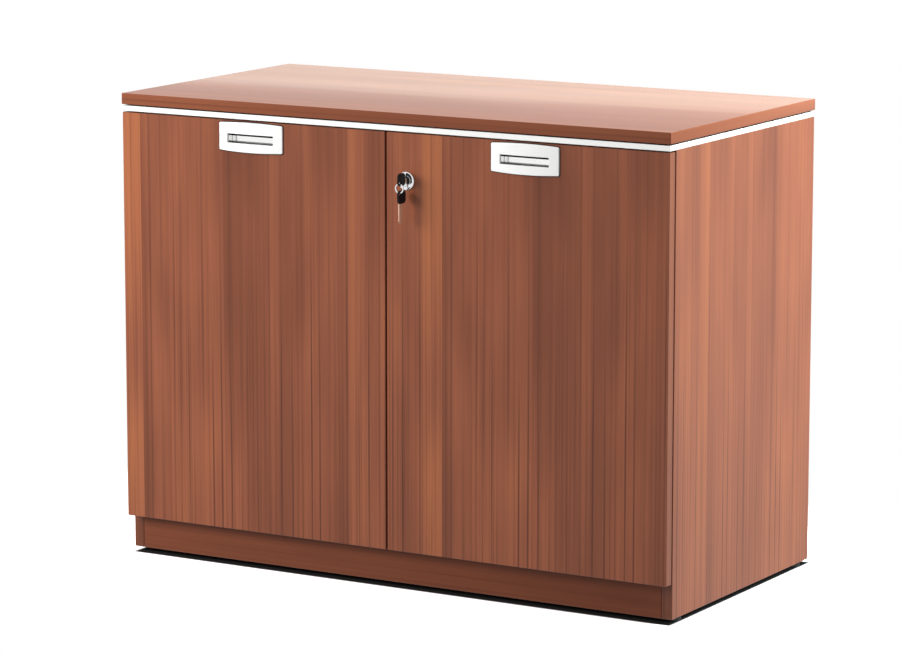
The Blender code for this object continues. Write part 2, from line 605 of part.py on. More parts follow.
def build_lock(axle, core, key, ring, spare):
    """The cam lock through the right door, with its key, ring and spare key."""
    at = Vector((LOCK_FROM_MIDDLE, DOOR_FRONT, LOCK_LEVEL))
    front = ROSETTE_FRONT - DOOR_FRONT
    nut_low = DOOR_THICK + FIT
    nut_high = nut_low + NUT_THICK
    tail_end = max(nut_high + FIT, key_tip() - KEY_INTO_TAIL)
    rosette = [(HOUSING_RADIUS + FIT, front), (ROSETTE_RADIUS - ROSETTE_RIM, front),
               (ROSETTE_RADIUS - ROSETTE_EDGE, front + ROSETTE_EDGE), (ROSETTE_RADIUS, -FIT),
               (HOUSING_RADIUS + FIT, -FIT)]
    add_object("lock_rosette", turned(rosette, "Y", ROUND, closed=True), at, axle, "bright_metal", True)
    housing = [(PLUG_RADIUS + FIT, front), (HOUSING_RADIUS, front), (HOUSING_RADIUS, tail_end),
               (PLUG_RADIUS + FIT, tail_end)]
    add_object("lock_housing", turned(housing, "Y", ROUND, closed=True), at, axle, "bright_metal", True)
    hexagon = [(NUT_ACROSS_FLATS / sqrt(3) * cos(a), NUT_ACROSS_FLATS / sqrt(3) * sin(a))
               for a in [pi / 3 * i for i in range(6)]]
    nut = add_object("lock_nut", prism(hexagon, nut_low, nut_high, "Y"), at, axle, "nickel")
    boolean(nut, rod(HOUSING_RADIUS + FIT, nut_low - OVERSHOOT, nut_high + OVERSHOOT, "Y", ROUND), at)

    cam_low = tail_end + FIT
    cam_high = cam_low + CAM_THICK
    plug = [(0, front), (PLUG_RADIUS, front), (PLUG_RADIUS, tail_end), (TAIL_RADIUS, tail_end),
            (TAIL_RADIUS, cam_high - FIT), (0, cam_high - FIT)]
    plug_obj = add_object("lock_plug", turned(plug, "Y", ROUND), at, core, "bright_metal", True)
    keyway = box((-KEY_THICK / 2 - FIT, front - OVERSHOOT, -KEY_BLADE_WIDTH / 2 - FIT),
                 (KEY_THICK / 2 + FIT, key_tip() + FIT, KEY_BLADE_WIDTH / 2 + FIT))
    boolean(plug_obj, keyway, at)
    cam_outline = [(CAM_WIDTH / 2 * cos(a), CAM_WIDTH / 2 * sin(a)) for a in [pi * i / 8 for i in range(9)]]
    cam_outline += [(-CAM_WIDTH / 2, -CAM_LENGTH), (CAM_WIDTH / 2, -CAM_LENGTH)]
    cam = add_object("lock_cam", prism(cam_outline, cam_low, cam_high, "Y"), at, core, "nickel")
    boolean(cam, rod(TAIL_RADIUS + FIT, cam_low - OVERSHOOT, cam_high + OVERSHOOT, "Y", ROUND), at)
    head_low = cam_high + FIT
    head_high = head_low + SCREW_HEAD_THICK
    screw = [(0, head_low), (SCREW_HEAD_RADIUS, head_low), (SCREW_HEAD_RADIUS, head_high - SCREW_CHAMFER),
             (SCREW_HEAD_RADIUS - SCREW_CHAMFER, head_high), (0, head_high)]
    add_object("cam_screw", turned(screw, "Y"), at, core, "nickel", True)

    near = BOW_NEAR - DOOR_FRONT
    blade = box((-KEY_THICK / 2, near + FIT, -KEY_BLADE_WIDTH / 2),
                (KEY_THICK / 2, key_tip(), KEY_BLADE_WIDTH / 2))
    add_object("key_blade", blade, at, key, "nickel")
    bow = prism(bow_outline(), -BOW_THICK / 2, BOW_THICK / 2, "X")
    bow_middle = near - BOW_LENGTH / 2
    bow_obj = add_object("key_bow", moved(bow, y=bow_middle, z=BOW_LIFT), at, key, "black_plastic")
    hole = rod(BOW_HOLE_RADIUS, -BOW_THICK, BOW_THICK, "X")
    boolean(bow_obj, moved(hole, y=near - BOW_LENGTH + BOW_HOLE_INSET, z=BOW_HOLE_LEVEL), at)

    wire = [(RING_RADIUS + RING_WIRE_RADIUS * cos(a), RING_WIRE_RADIUS * sin(a))
            for a in [2 * pi * i / 8 for i in range(8)]]
    add_object("key_ring", turned(wire, "Y", 36, closed=True), ring_centre(), ring, "bright_metal", True)

    twist = Matrix.Rotation(-SPARE_TURN, 3, "Z")
    hang = ring_centre() - Vector((0, 0, RING_RADIUS))
    top = BOW_HOLE_INSET - RING_DROP
    bow = prism([(z, y) for y, z in bow_outline()], -BOW_THICK / 2, BOW_THICK / 2, "X")
    bow = moved(bow, y=BOW_LIFT - BOW_HOLE_LEVEL, z=top - BOW_LENGTH / 2)
    bmesh.ops.rotate(bow, matrix=twist, verts=bow.verts)
    spare_bow = add_object("spare_key_bow", bow, hang, spare, "black_plastic")
    hole = moved(rod(BOW_HOLE_RADIUS, -BOW_THICK, BOW_THICK, "X"), z=-RING_DROP)
    bmesh.ops.rotate(hole, matrix=twist, verts=hole.verts)
    boolean(spare_bow, hole, hang)
    low = top - BOW_LENGTH - FIT
    blade = box((-KEY_THICK / 2, -KEY_BLADE_WIDTH / 2, low - KEY_BLADE_LENGTH),
                (KEY_THICK / 2, KEY_BLADE_WIDTH / 2, low))
    blade = moved(blade, y=-BOW_HOLE_LEVEL)
    bmesh.ops.rotate(blade, matrix=twist, verts=blade.verts)
    add_object("spare_key_blade", blade, hang, spare, "nickel")


def bow_outline():
    """A key's head seen flat about its own middle: along the key, then across it."""
    return rounded_outline(BOW_LENGTH, BOW_WIDTH, BOW_CORNER)


def key_tip():
    """How far behind the door's front the key in the lock reaches."""
    return BOW_NEAR - DOOR_FRONT + KEY_BLADE_LENGTH


def ring_top():
    """Where the ring's wire passes through the key's head, at the top of the ring."""
    return Vector((LOCK_FROM_MIDDLE, RING_PLANE, LOCK_LEVEL + BOW_HOLE_LEVEL - RING_DROP))


def ring_centre():
    """The middle of the ring, which hangs from the key's head."""
    return ring_top() - Vector((0, 0, RING_RADIUS))


def bolt_plane():
    """Depth of the bolt's bar, behind the left door."""
    return DOOR_BACK + FIT + BOLT_BASE + FIT + BOLT_BAR_THICK / 2


def build_bolt(root, axle, bar):
    """The bolt on the left door, its keeper under the sub-top and the strike for the lock's cam."""
    x = -BOLT_FROM_MIDDLE
    tip = SUB_TOP_LOW - FIT - KEEPER_THICK - BOLT_TIP_GAP
    low = tip - BOLT_BAR_LENGTH
    body_low = low + (BOLT_BAR_LENGTH - BOLT_BODY_HEIGHT) / 2
    half = BOLT_BODY_WIDTH / 2
    room = BOLT_BAR_WIDTH / 2 + FIT
    neck = BOLT_NECK_WIDTH / 2 + FIT
    deep = FIT + BOLT_BODY_DEPTH
    ledge = FIT + BOLT_BASE + 2 * FIT + BOLT_BAR_THICK
    base = FIT + BOLT_BASE
    outline = [(-half, FIT), (half, FIT), (half, deep), (neck, deep), (neck, ledge), (room, ledge),
               (room, base), (-room, base), (-room, ledge), (-neck, ledge), (-neck, deep), (-half, deep)]
    body = prism(outline, body_low, body_low + BOLT_BODY_HEIGHT, "Z")
    add_object("bolt_body", body, (x, DOOR_BACK, 0), axle, "nickel")
    flat = BOLT_BAR_THICK / 2
    shape = box((-BOLT_BAR_WIDTH / 2, -flat, -BOLT_BAR_LENGTH / 2),
                (BOLT_BAR_WIDTH / 2, flat, BOLT_BAR_LENGTH / 2))
    middle = (x, bolt_plane(), low + BOLT_BAR_LENGTH / 2)
    slide = add_object("bolt_slide", shape, middle, bar, "bright_metal")
    out = DOOR_BACK + deep + FIT - bolt_plane()
    neck_bar = box((-BOLT_NECK_WIDTH / 2, 0, -BOLT_KNOB / 2),
                   (BOLT_NECK_WIDTH / 2, out + OVERSHOOT, BOLT_KNOB / 2))
    boolean(slide, neck_bar, middle, "UNION")
    knob = box((-BOLT_KNOB / 2, out, -BOLT_KNOB_HEIGHT / 2),
               (BOLT_KNOB / 2, out + BOLT_KNOB_THICK, BOLT_KNOB_HEIGHT / 2))
    boolean(slide, knob, middle, "UNION")
    keeper_outline = rounded_outline(KEEPER_SIZE, KEEPER_SIZE / 2, KEEPER_CORNER)
    plate = prism(keeper_outline, -FIT - KEEPER_THICK, -FIT, "Z")
    keeper_at = (x, bolt_plane() + FIT, SUB_TOP_LOW)
    keeper = add_object("bolt_keeper", plate, keeper_at, root, "nickel")
    wide, thick = BOLT_BAR_WIDTH / 2 + 2 * FIT, BOLT_BAR_THICK / 2 + 2 * FIT
    mouth = box((-wide, -thick, -KEEPER_THICK - OVERSHOOT), (wide, thick, OVERSHOOT))
    boolean(keeper, mouth, (x, bolt_plane(), SUB_TOP_LOW))
    edge = -DOOR_IN - STRIKE_FROM_EDGE
    strike = box((edge - STRIKE_WIDTH, FIT, -STRIKE_HEIGHT / 2),
                 (edge, FIT + STRIKE_THICK, STRIKE_HEIGHT / 2))
    add_object("strike_plate", strike, (0, DOOR_BACK, LOCK_LEVEL), axle, "nickel")


def build_bumpers(side, axle):
    """Two clear bumpers on a door's back, where it meets the bottom panel and the sub-top."""
    thick = DOOR_TO_CARCASS - 2 * FIT
    profile = [(0, FIT), (BUMPER_RADIUS, FIT), (BUMPER_RADIUS, FIT + thick / 2),
               (BUMPER_RADIUS - BUMPER_CHAMFER, FIT + thick), (0, FIT + thick)]
    levels = {"lower": BOTTOM_LOW + BOARD / 2, "upper": SUB_TOP_LOW + BOARD / 2 - DOOR_TOP_REVEAL}
    for end, z in levels.items():
        add_object(f"bumper_{SIDES[side]}_{end}", turned(profile, "Y", SMALL_ROUND),
                   (side * BUMPER_FROM_MIDDLE, DOOR_BACK, z), axle, "clear_plastic", True)


def main():
    """Clears the scene and builds the credenza."""
    for obj in list(bpy.data.objects):
        bpy.data.objects.remove(obj, do_unlink=True)
    finish("wood_print", (0.30, 0.11, 0.06), 0.35)
    finish("back_board", (0.42, 0.30, 0.22), 0.6)
    finish("white_plastic", (0.9, 0.9, 0.9), 0.35)
    finish("black_plastic", (0.012, 0.012, 0.014), 0.45)
    finish("clear_plastic", (0.7, 0.7, 0.7), 0.3)
    finish("bright_metal", (0.85, 0.85, 0.87), 0.08, 1.0)
    finish("nickel", (0.66, 0.65, 0.62), 0.28, 1.0)

    root = empty("credenza", (0, 0, 0))
    build_carcass(root)
    build_trim(root)
    build_shelf(root)
    build_glides(root)
    axles = {}
    for side, word in SIDES.items():
        build_side(side, root)
        axles[side] = empty(f"{word}_door_axle", (*hinge_point(side, 0, 0), 0), root)
        link_axle = empty(f"{word}_link_axle", (*hinge_point(side, *link_pivot()), 0), root)
        build_door(side, axles[side])
        build_pull(side, axles[side])
        build_bumpers(side, axles[side])
        for end, level in hinge_levels().items():
            build_hinge_cup(side, level, f"hinge_cup_{word}_{end}", axles[side])
            build_hinge_arm(side, level, f"hinge_arm_{word}_{end}", root)
            build_hinge_link(side, level, f"hinge_link_{word}_{end}", link_axle)
    lock_at = (LOCK_FROM_MIDDLE, DOOR_FRONT, LOCK_LEVEL)
    core = empty("lock_axle", lock_at, axles[RIGHT])
    key = empty("key_axle", lock_at, core)
    ring = empty("ring_axle", ring_top(), key)
    spare = empty("spare_key_axle", ring_centre() - Vector((0, 0, RING_RADIUS)), ring)
    build_lock(axles[RIGHT], core, key, ring, spare)
    bar = empty("bolt_axle", (-BOLT_FROM_MIDDLE, bolt_plane(), SUB_TOP_LOW), axles[LEFT])
    build_bolt(root, axles[LEFT], bar)


main()
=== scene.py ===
"""Looks of a two-door office credenza: printed boards, white band, recessed pulls, lock, keys and hinges."""
import json
from math import cos, pi, radians, sin

import bpy
import numpy as np
from bpy.props import FloatProperty, FloatVectorProperty, PointerProperty, StringProperty
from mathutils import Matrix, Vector


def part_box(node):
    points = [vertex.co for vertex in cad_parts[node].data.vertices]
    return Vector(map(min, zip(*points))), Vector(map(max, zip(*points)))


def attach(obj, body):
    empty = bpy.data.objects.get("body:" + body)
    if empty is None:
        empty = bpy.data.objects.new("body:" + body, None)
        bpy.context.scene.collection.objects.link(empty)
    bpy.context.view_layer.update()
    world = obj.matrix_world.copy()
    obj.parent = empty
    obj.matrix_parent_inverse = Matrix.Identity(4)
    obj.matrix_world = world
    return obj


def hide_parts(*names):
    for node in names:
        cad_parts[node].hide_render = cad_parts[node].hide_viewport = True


bl_info = {
    "name": "Office credenza",
    "version": (1, 0, 0),
    "blender": (4, 5, 0),
    "location": "View3D > Sidebar > Credenza",
    "description": "Gives a jointed credenza its boards, band, pulls, lock, keys and hinges",
    "category": "Object",
}

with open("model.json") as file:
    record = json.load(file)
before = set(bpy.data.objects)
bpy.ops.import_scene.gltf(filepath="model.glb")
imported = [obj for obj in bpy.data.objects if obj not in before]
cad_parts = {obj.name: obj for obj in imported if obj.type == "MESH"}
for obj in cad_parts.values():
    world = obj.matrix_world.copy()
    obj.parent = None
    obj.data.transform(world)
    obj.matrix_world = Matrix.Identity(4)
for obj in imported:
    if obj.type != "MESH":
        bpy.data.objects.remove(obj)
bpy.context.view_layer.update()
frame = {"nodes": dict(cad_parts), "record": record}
JOINTS = {joint["name"]: joint for joint in frame["record"]["behaviour"]["joints"]}

MM = 0.001
SIDES = {"left": -1, "right": 1}
LEVELS = ("lower", "upper")
# The order of an upright shape's x, y and z that lays it along each axis.
ORDER = {"X": [2, 0, 1], "Y": [0, 2, 1], "Z": [0, 1, 2]}

# The print's planks across one repeat, as (share of the repeat, tone).
PLANKS = ((0.0, 0.32), (0.09, 0.42), (0.12, 0.6), (0.28, 0.68), (0.292, 0.34), (0.42, 0.38), (0.5, 0.5),
          (0.62, 0.38), (0.695, 0.4), (0.705, 0.66), (0.76, 0.54), (0.925, 0.46), (0.955, 0.76))
PLANK_WEIGHT, SLAT_WEIGHT, MIDDLE_TONE = 1.05, 0.1, 0.5
# The print's streaks, as (width in mm, length in mm, detail, seed, weight). The finest is drawn wider than
# the real print's lines, so that it shows.
STREAKS = ((26, 420, 1, 5.7, 0.6), (34, 130, 1, 13, 0.4), (9, 420, 2, 5, 0.3), (2.6, 240, 2, 7, 0.22),
           (0.6, 60, 2, 29, 0.2))
# The print's dark veins, as (mean spacing as a share of the plank width, seed, strength).
VEINS = ((1.0, 11.0, 0.8), (0.45, 17.0, 0.34))
VEIN_CORE, VEIN_EDGE, VEIN_LEAST = 0.6 * MM, 2.0 * MM, 0.35
# Heights between which veins fade. Past either end of a board, they leave it strong or faint all over.
STRONG_VEINS, FAINT_VEINS = (2.0, 3.0), (-2.0, -1.0)
SWAY = 4.0 * MM


def linear(code):
    """An sRGB hex value as linear red, green, blue and alpha."""
    parts = np.array([int(code[i:i + 2], 16) for i in (1, 3, 5)]) / 255
    low, high = parts / 12.92, ((parts + 0.055) / 1.055) ** 2.4
    return (*np.where(parts <= 0.04045, low, high).tolist(), 1.0)


def grey(value):
    """A grey of that linear level."""
    return (value, value, value, 1.0)


def add(tree, kind, inputs=None, stops=(), **settings):
    """Adds a node with its settings and a ramp's (position, colour) stops, and sets or links its inputs.

    An input goes by its name or its number. On a Mix node 0 is the share, 2 and 3 are the numbers to mix, and
    6 and 7 are the colours.
    """
    made = tree.nodes.new(kind)
    for key, value in settings.items():
        setattr(made, key, value)
    while stops and len(made.color_ramp.elements) < len(stops):
        made.color_ramp.elements.new(0.5)
    for at, (position, colour) in enumerate(stops):
        made.color_ramp.elements[at].position = position
        made.color_ramp.elements[at].color = colour
    for key, value in (inputs or {}).items():
        if isinstance(value, bpy.types.NodeSocket):
            tree.links.new(value, made.inputs[key])
        else:
            made.inputs[key].default_value = value
    return made


def new_material(name):
    """A node material with its tree and shader."""
    mat = bpy.data.materials.new(name)
    mat.use_nodes = True
    return mat, mat.node_tree, mat.node_tree.nodes["Principled BSDF"]


def laminate(name, looks, along, across, coords="Object", start=0.0, lift=0.0, contrast=1.0,
             vein_heights=STRONG_VEINS, painted_edge_shade=None):
    """Melamine-faced board with a printed walnut veneer.

    The eye sees straight planks of brown, red-brown and pale orange with soft and sharp edges, which fade
    and return along the grain, fine streaks, and thin dark veins that come and go, under an even half-gloss.
    Along and across are the directions of the coordinates that the grain follows and crosses. The print
    repeats across the grain, and start moves it. Lift makes it paler, and contrast livelier. The veins fade
    out between the two heights along the grain. Faces that point the way of the vector painted_edge_shade
    are mixed towards the veins' colour by as much as it is long: painted shade on those edges.
    """
    mat, tree, shader = new_material(name)
    place = add(tree, "ShaderNodeTexCoord").outputs[coords]
    run = add(tree, "ShaderNodeVectorMath", {0: place, 1: along}, operation="DOT_PRODUCT").outputs["Value"]
    side = add(tree, "ShaderNodeVectorMath", {0: place, 1: across}, operation="DOT_PRODUCT").outputs["Value"]
    flat = add(tree, "ShaderNodeCombineXYZ", {"X": run, "Y": side}).outputs[0]

    def streak(width_mm, length_mm, detail=1.0, seed=0.0):
        """Noise with features of about that width across the grain and that length along it."""
        scale = (0.5 / (length_mm * MM), 0.5 / (width_mm * MM), 1.0)
        vector = add(tree, "ShaderNodeMapping", {"Vector": flat, "Scale": scale, "Location": (0, 0, seed)})
        return add(tree, "ShaderNodeTexNoise", {"Vector": vector.outputs[0], "Scale": 1.0, "Detail": detail,
                                                "Roughness": 0.55}).outputs["Fac"]

    # The grain sways a little, and the print repeats across it.
    sway = add(tree, "ShaderNodeMath", {0: streak(70, 600), 1: SWAY, 2: side}, operation="MULTIPLY_ADD")
    moved = add(tree, "ShaderNodeMath", {0: sway.outputs[0], 1: start - SWAY / 2}).outputs[0]
    turn = add(tree, "ShaderNodeMath", {0: moved, 1: looks.print_repeat, 2: 0.0}, operation="WRAP").outputs[0]
    flat = add(tree, "ShaderNodeCombineXYZ", {"X": run, "Y": turn}).outputs[0]
    share = add(tree, "ShaderNodeMath", {0: turn, 1: 1 / looks.print_repeat}, operation="MULTIPLY").outputs[0]

    # Planks that fade towards the middle tone in patches, narrow slats and streaks add up to one tone.
    planks = add(tree, "ShaderNodeValToRGB", {"Fac": share},
                 stops=[(position, grey(tone)) for position, tone in PLANKS]).outputs["Color"]
    patch = add(tree, "ShaderNodeMapRange", {"Value": streak(60, 170, 1, 54.6), "From Min": 0.36,
                                             "From Max": 0.62, "To Min": 0.1, "To Max": 1.0}).outputs[0]
    planks = add(tree, "ShaderNodeMix", {0: patch, 2: MIDDLE_TONE, 3: planks}).outputs[0]
    slats = add(tree, "ShaderNodeTexVoronoi", {"W": turn, "Scale": 1 / looks.plank_width},
                voronoi_dimensions="1D").outputs["Color"]
    layers = [(planks, PLANK_WEIGHT), (slats, SLAT_WEIGHT)]
    layers += [(streak(*shape), weight) for *shape, weight in STREAKS]
    tone = MIDDLE_TONE + lift
    for value, weight in layers:
        centred = add(tree, "ShaderNodeMath", {0: value, 1: MIDDLE_TONE}, operation="SUBTRACT").outputs[0]
        tone = add(tree, "ShaderNodeMath", {0: centred, 1: weight * contrast, 2: tone},
                   operation="MULTIPLY_ADD").outputs[0]
    colour = add(tree, "ShaderNodeValToRGB", {"Fac": tone},
                 stops=((0.05, linear(looks.dark)), (0.38, linear(looks.brown)), (0.6, linear(looks.red)),
                        (0.9, linear(looks.orange)))).outputs["Color"]

    # Veins run between uneven cells, come and go along the grain, and fade with the height.
    height = add(tree, "ShaderNodeMapRange", {"Value": run, "From Min": vein_heights[1],
                                              "From Max": vein_heights[0], "To Min": VEIN_LEAST,
                                              "To Max": 1.0}).outputs[0]
    for spacing, seed, strength in VEINS:
        width = spacing * looks.plank_width
        gap = add(tree, "ShaderNodeTexVoronoi", {"W": turn, "Scale": 1 / width}, voronoi_dimensions="1D",
                  feature="DISTANCE_TO_EDGE").outputs["Distance"]
        line = add(tree, "ShaderNodeMapRange", {"Value": gap, "From Min": VEIN_CORE / width,
                                                "From Max": VEIN_EDGE / width, "To Min": strength,
                                                "To Max": 0.0}).outputs[0]
        fade = add(tree, "ShaderNodeMapRange", {"Value": streak(11, 300, 1, seed), "From Min": 0.38,
                                                "From Max": 0.62}).outputs[0]
        fade = add(tree, "ShaderNodeMath", {0: fade, 1: height}, operation="MULTIPLY").outputs[0]
        depth = add(tree, "ShaderNodeMath", {0: line, 1: fade}, operation="MULTIPLY").outputs[0]
        colour = add(tree, "ShaderNodeMix", {0: depth, 6: colour, 7: linear(looks.vein_and_edge_shade)},
                     data_type="RGBA").outputs[2]
    # Painted shade: edges are darkened towards the veins' colour by how far they face along
    # painted_edge_shade.
    if painted_edge_shade:
        normal = add(tree, "ShaderNodeNewGeometry").outputs["True Normal"]
        facing = add(tree, "ShaderNodeVectorMath", {0: normal, 1: painted_edge_shade}, operation="DOT_PRODUCT")
        colour = add(tree, "ShaderNodeMix", {0: facing.outputs["Value"], 6: colour, 7: linear(looks.vein_and_edge_shade)},
                     data_type="RGBA").outputs[2]

    # Pressed pores, drawn wider than real ones, so that they show.
    pores = add(tree, "ShaderNodeBump", {"Height": streak(0.9, 24, 2, 23), "Strength": 0.05,
                                         "Distance": 0.4 * MM})
    tree.links.new(colour, shader.inputs["Base Color"])
    tree.links.new(pores.outputs[0], shader.inputs["Normal"])
    shader.inputs["Roughness"].default_value = looks.roughness
    shader.inputs["Specular IOR Level"].default_value = looks.gloss
    return mat


def plain(name, code, roughness, metallic=0.0, grain_mm=0.6, depth=0.05, mottle=0.04, fleck=None):
    """A moulded, pressed or plated surface: one colour, a slight mottle in its gloss and a fine skin.

    Noise of the given grain size, coarser than the real skin's so that it shows, gives the bump and moves the
    roughness a little each way. A fleck is a second colour, which shows in soft clouds and in short fibres.
    """
    mat, tree, shader = new_material(name)
    cloud_mm, fibre_mm = 50 * grain_mm, 2.5 * grain_mm
    place = add(tree, "ShaderNodeTexCoord").outputs["Object"]
    noise = add(tree, "ShaderNodeTexNoise", {"Vector": place, "Scale": 0.5 / (grain_mm * MM),
                                             "Detail": 2.0}).outputs["Fac"]
    rough = add(tree, "ShaderNodeMath", {0: noise, 1: mottle, 2: roughness - mottle / 2},
                operation="MULTIPLY_ADD")
    bump = add(tree, "ShaderNodeBump", {"Height": noise, "Strength": depth, "Distance": 0.2 * MM})
    tree.links.new(rough.outputs[0], shader.inputs["Roughness"])
    tree.links.new(bump.outputs[0], shader.inputs["Normal"])
    shader.inputs["Base Color"].default_value = linear(code)
    shader.inputs["Metallic"].default_value = metallic
    if fleck:
        clouds = add(tree, "ShaderNodeTexNoise", {"Vector": place, "Scale": 0.5 / (cloud_mm * MM),
                                                  "Detail": 3.0})
        fibres = add(tree, "ShaderNodeTexVoronoi", {"Vector": place, "Scale": 1 / (fibre_mm * MM)})
        share = add(tree, "ShaderNodeMath", {0: clouds.outputs["Fac"], 1: fibres.outputs["Distance"]},
                    operation="MULTIPLY").outputs[0]
        colour = add(tree, "ShaderNodeMix", {0: share, 6: linear(code), 7: linear(fleck)}, data_type="RGBA")
        tree.links.new(colour.outputs[2], shader.inputs["Base Color"])
    return mat


def painted_shade_material(looks):
    """The one material of painted shade, dark and matt, in grooves and along edges where little light comes
    back out.
    """
    return bpy.data.materials.get("Painted shade") or plain("Painted shade", looks.seam, 0.8, grain_mm=1.0)


def piece(name, points, faces, mats, tones=None, sharp=35):
    """An object at the origin with these points and faces, its faces turned outwards.

    Tones picks each face's material where there are several.
    """
    mesh = bpy.data.meshes.new(name)
    mesh.from_pydata(np.asarray(points, dtype=float).tolist(), [], faces)
    mesh.validate()
    obj = bpy.data.objects.new(name, mesh)
    bpy.context.scene.collection.objects.link(obj)
    for mat in mats:
        mesh.materials.append(mat)
    if tones is not None:
        mesh.polygons.foreach_set("material_index", np.asarray(tones, dtype=np.int32))
    outwards(mesh)
    mesh.shade_smooth()
    mesh.set_sharp_from_angle(angle=radians(sharp))
    return obj


def numbers(items, key, wide=1, kind=float):
    """One number or vector of each item of a mesh, as an array."""
    values = np.zeros(len(items) * wide, dtype=kind)
    items.foreach_get(key, values)
    return values if wide == 1 else values.reshape(-1, wide)


def outwards(mesh):
    """Turns a closed mesh's faces outwards, by the sign of the volume that they enclose."""
    mesh.calc_loop_triangles()
    points = numbers(mesh.vertices, "co", 3)
    corners = numbers(mesh.loop_triangles, "vertices", 3, np.int32)
    a, b, c = (points[corners] - points[0]).transpose(1, 0, 2)
    if np.einsum("ij,ij->", a, np.cross(b, c)) < 0:
        mesh.flip_normals()


def skin(name, rows, *mats, closed=False, sharp=35, tones=None):
    """A surface through rows of points, an array (rows, points, 3).

    Each row is a closed loop, and point i of one row joins point i of the next. The end rows are capped
    flat, unless the last row joins the first. Tones (rows, points) picks each quad's material.
    """
    rows = np.asarray(rows, dtype=float)
    count, around = rows.shape[:2]
    index = np.arange(count * around).reshape(count, around)
    low = index if closed else index[:-1]
    high = np.roll(index, -1, axis=0) if closed else index[1:]
    quads = np.stack([low, np.roll(low, -1, axis=1), np.roll(high, -1, axis=1), high], axis=-1)
    faces = quads.reshape(-1, 4).tolist()
    if tones is not None:
        tones = np.broadcast_to(tones, low.shape).ravel()
    if not closed:
        faces += [index[0, ::-1].tolist(), index[-1].tolist()]
        tones = None if tones is None else np.append(tones, [0, 0])
    return piece(name, rows.reshape(-1, 3), faces, mats, tones, sharp)


def rounded(width, height, corner, side_steps=(1, 1), corner_steps=6):
    """A rectangle about the origin with round corners, as points (n, 2) taken anticlockwise.

    Each corner is a quarter circle, and each side gets its own number of equal steps.
    """
    parts = []
    signs = np.array(((1, 1), (-1, 1), (-1, -1), (1, -1)))
    inner = signs * (np.array([width, height]) / 2 - corner)
    for quarter in range(4):
        angle = (quarter + np.linspace(0, 1, corner_steps + 1)) * pi / 2
        arc = inner[quarter] + corner * np.stack([np.cos(angle), np.sin(angle)], axis=-1)
        goal = inner[(quarter + 1) % 4] + corner * np.array([cos(angle[-1]), sin(angle[-1])])
        share = np.linspace(0, 1, side_steps[quarter % 2] + 1)[1:-1, None]
        parts += [arc, arc[-1] * (1 - share) + goal * share]
    return np.concatenate(parts)


def lathe(name, profile, centre, axis, mat, steps=48, closed=False, sharp=35, flip=False):
    """A profile of (radius, height) points in mm turned about an axis through a point.

    At angle a, a point is at r cos a and r sin a across the axis, and its height runs along it, or back along
    it if flipped.
    """
    profile = np.asarray(profile, dtype=float) * MM
    angle = np.linspace(0, 2 * pi, steps, endpoint=False)
    ring = np.stack([np.cos(angle), np.sin(angle), np.zeros(steps)], axis=-1)
    sign = -1.0 if flip else 1.0
    rows = profile[:, 0, None, None] * ring + profile[:, 1, None, None] * np.array([0.0, 0.0, sign])
    return skin(name, rows[..., ORDER[axis]] + np.asarray(centre), mat, closed=closed, sharp=sharp)


def cross_screw(name, centre, axis, mat, radius, height, flip=False):
    """A domed screw head with a cross recess, its radius and height in mm.

    Loops shrink from the rim over a quarter-ellipse to the cross, whose outline at angle a is the larger of
    min(l / |cos a|, w / |sin a|) and the same with l and w changed over, and then drop to the recess's floor.
    The angles start a hair past zero, so that no sine is zero.
    """
    steps, hair = 64, 1e-4
    angle = np.linspace(0, 2 * pi, steps, endpoint=False) + hair
    arm, half, edge = 0.56 * radius, 0.15 * radius, 0.3 * height
    c, s = np.abs(np.cos(angle)), np.abs(np.sin(angle))
    cross = np.maximum(np.minimum(arm / c, half / s), np.minimum(half / c, arm / s))
    rim = [(np.full(steps, radius), 0.0), (np.full(steps, radius), edge)]
    dome = [(radius + (cross - radius) * (1 - cos(t)), edge + (height - edge) * sin(t))
            for t in np.linspace(0, pi / 2, 6)[1:]]
    floor = [(0.8 * cross, 0.25 * height)]
    sign = -1.0 if flip else 1.0
    rows = np.array([np.stack([r * np.cos(angle), r * np.sin(angle), np.full(steps, sign * z)], axis=-1)
                     for r, z in rim + dome + floor]) * MM
    return skin(name, rows[..., ORDER[axis]] + np.asarray(centre), mat, sharp=40)


def board(name, node, mat, edge_mm=1.0):
    """A board with round edges: rounded outlines stacked through a quarter-round, a flat and a quarter-round.

    Its UV map is in metres, u along the grain, which runs along x. An end face's grain runs along its longer
    side, and each way of facing has its own part of the print.
    """
    low, high = (np.array(corner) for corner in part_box(node))
    size, middle = high - low, (low + high) / 2
    edge, face_shift = edge_mm * MM, 0.31
    turn = np.linspace(0, pi / 2, 5)
    insets = edge * (1 - np.sin(turn))
    heights = edge * (1 - np.cos(turn)) - size[2] / 2
    loops = []
    for inset, z in zip(np.append(insets, insets[::-1]), np.append(heights, -heights[::-1])):
        flat = rounded(size[0] - 2 * inset, size[1] - 2 * inset, 1.5 * edge - inset, corner_steps=5)
        loops.append(np.column_stack([flat, np.full(len(flat), z)]) + middle)
    obj = skin(name, loops, mat)
    mesh = obj.data
    corners = numbers(mesh.loops, "vertex_index", kind=np.int32)
    points = numbers(mesh.vertices, "co", 3)[corners]
    totals = numbers(mesh.polygons, "loop_total", kind=np.int32)
    facing = np.repeat(np.abs(numbers(mesh.polygons, "normal", 3)).argmax(axis=1), totals)
    along = np.where(facing == 0, 1 if size[1] > size[2] else 2, 0)
    take = np.arange(len(corners))
    uv = np.stack([points[take, along], points[take, 3 - facing - along] + face_shift * facing], axis=-1)
    mesh.uv_layers.new(name="Grain").data.foreach_set("uv", uv.astype(np.float32).ravel())
    return obj


def stand_for(obj, body, slot, *nodes):
    """The piece rides on a body and hides the nodes that it stands for. The slot is not used."""
    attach(obj, body)
    if nodes:
        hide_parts(*nodes)


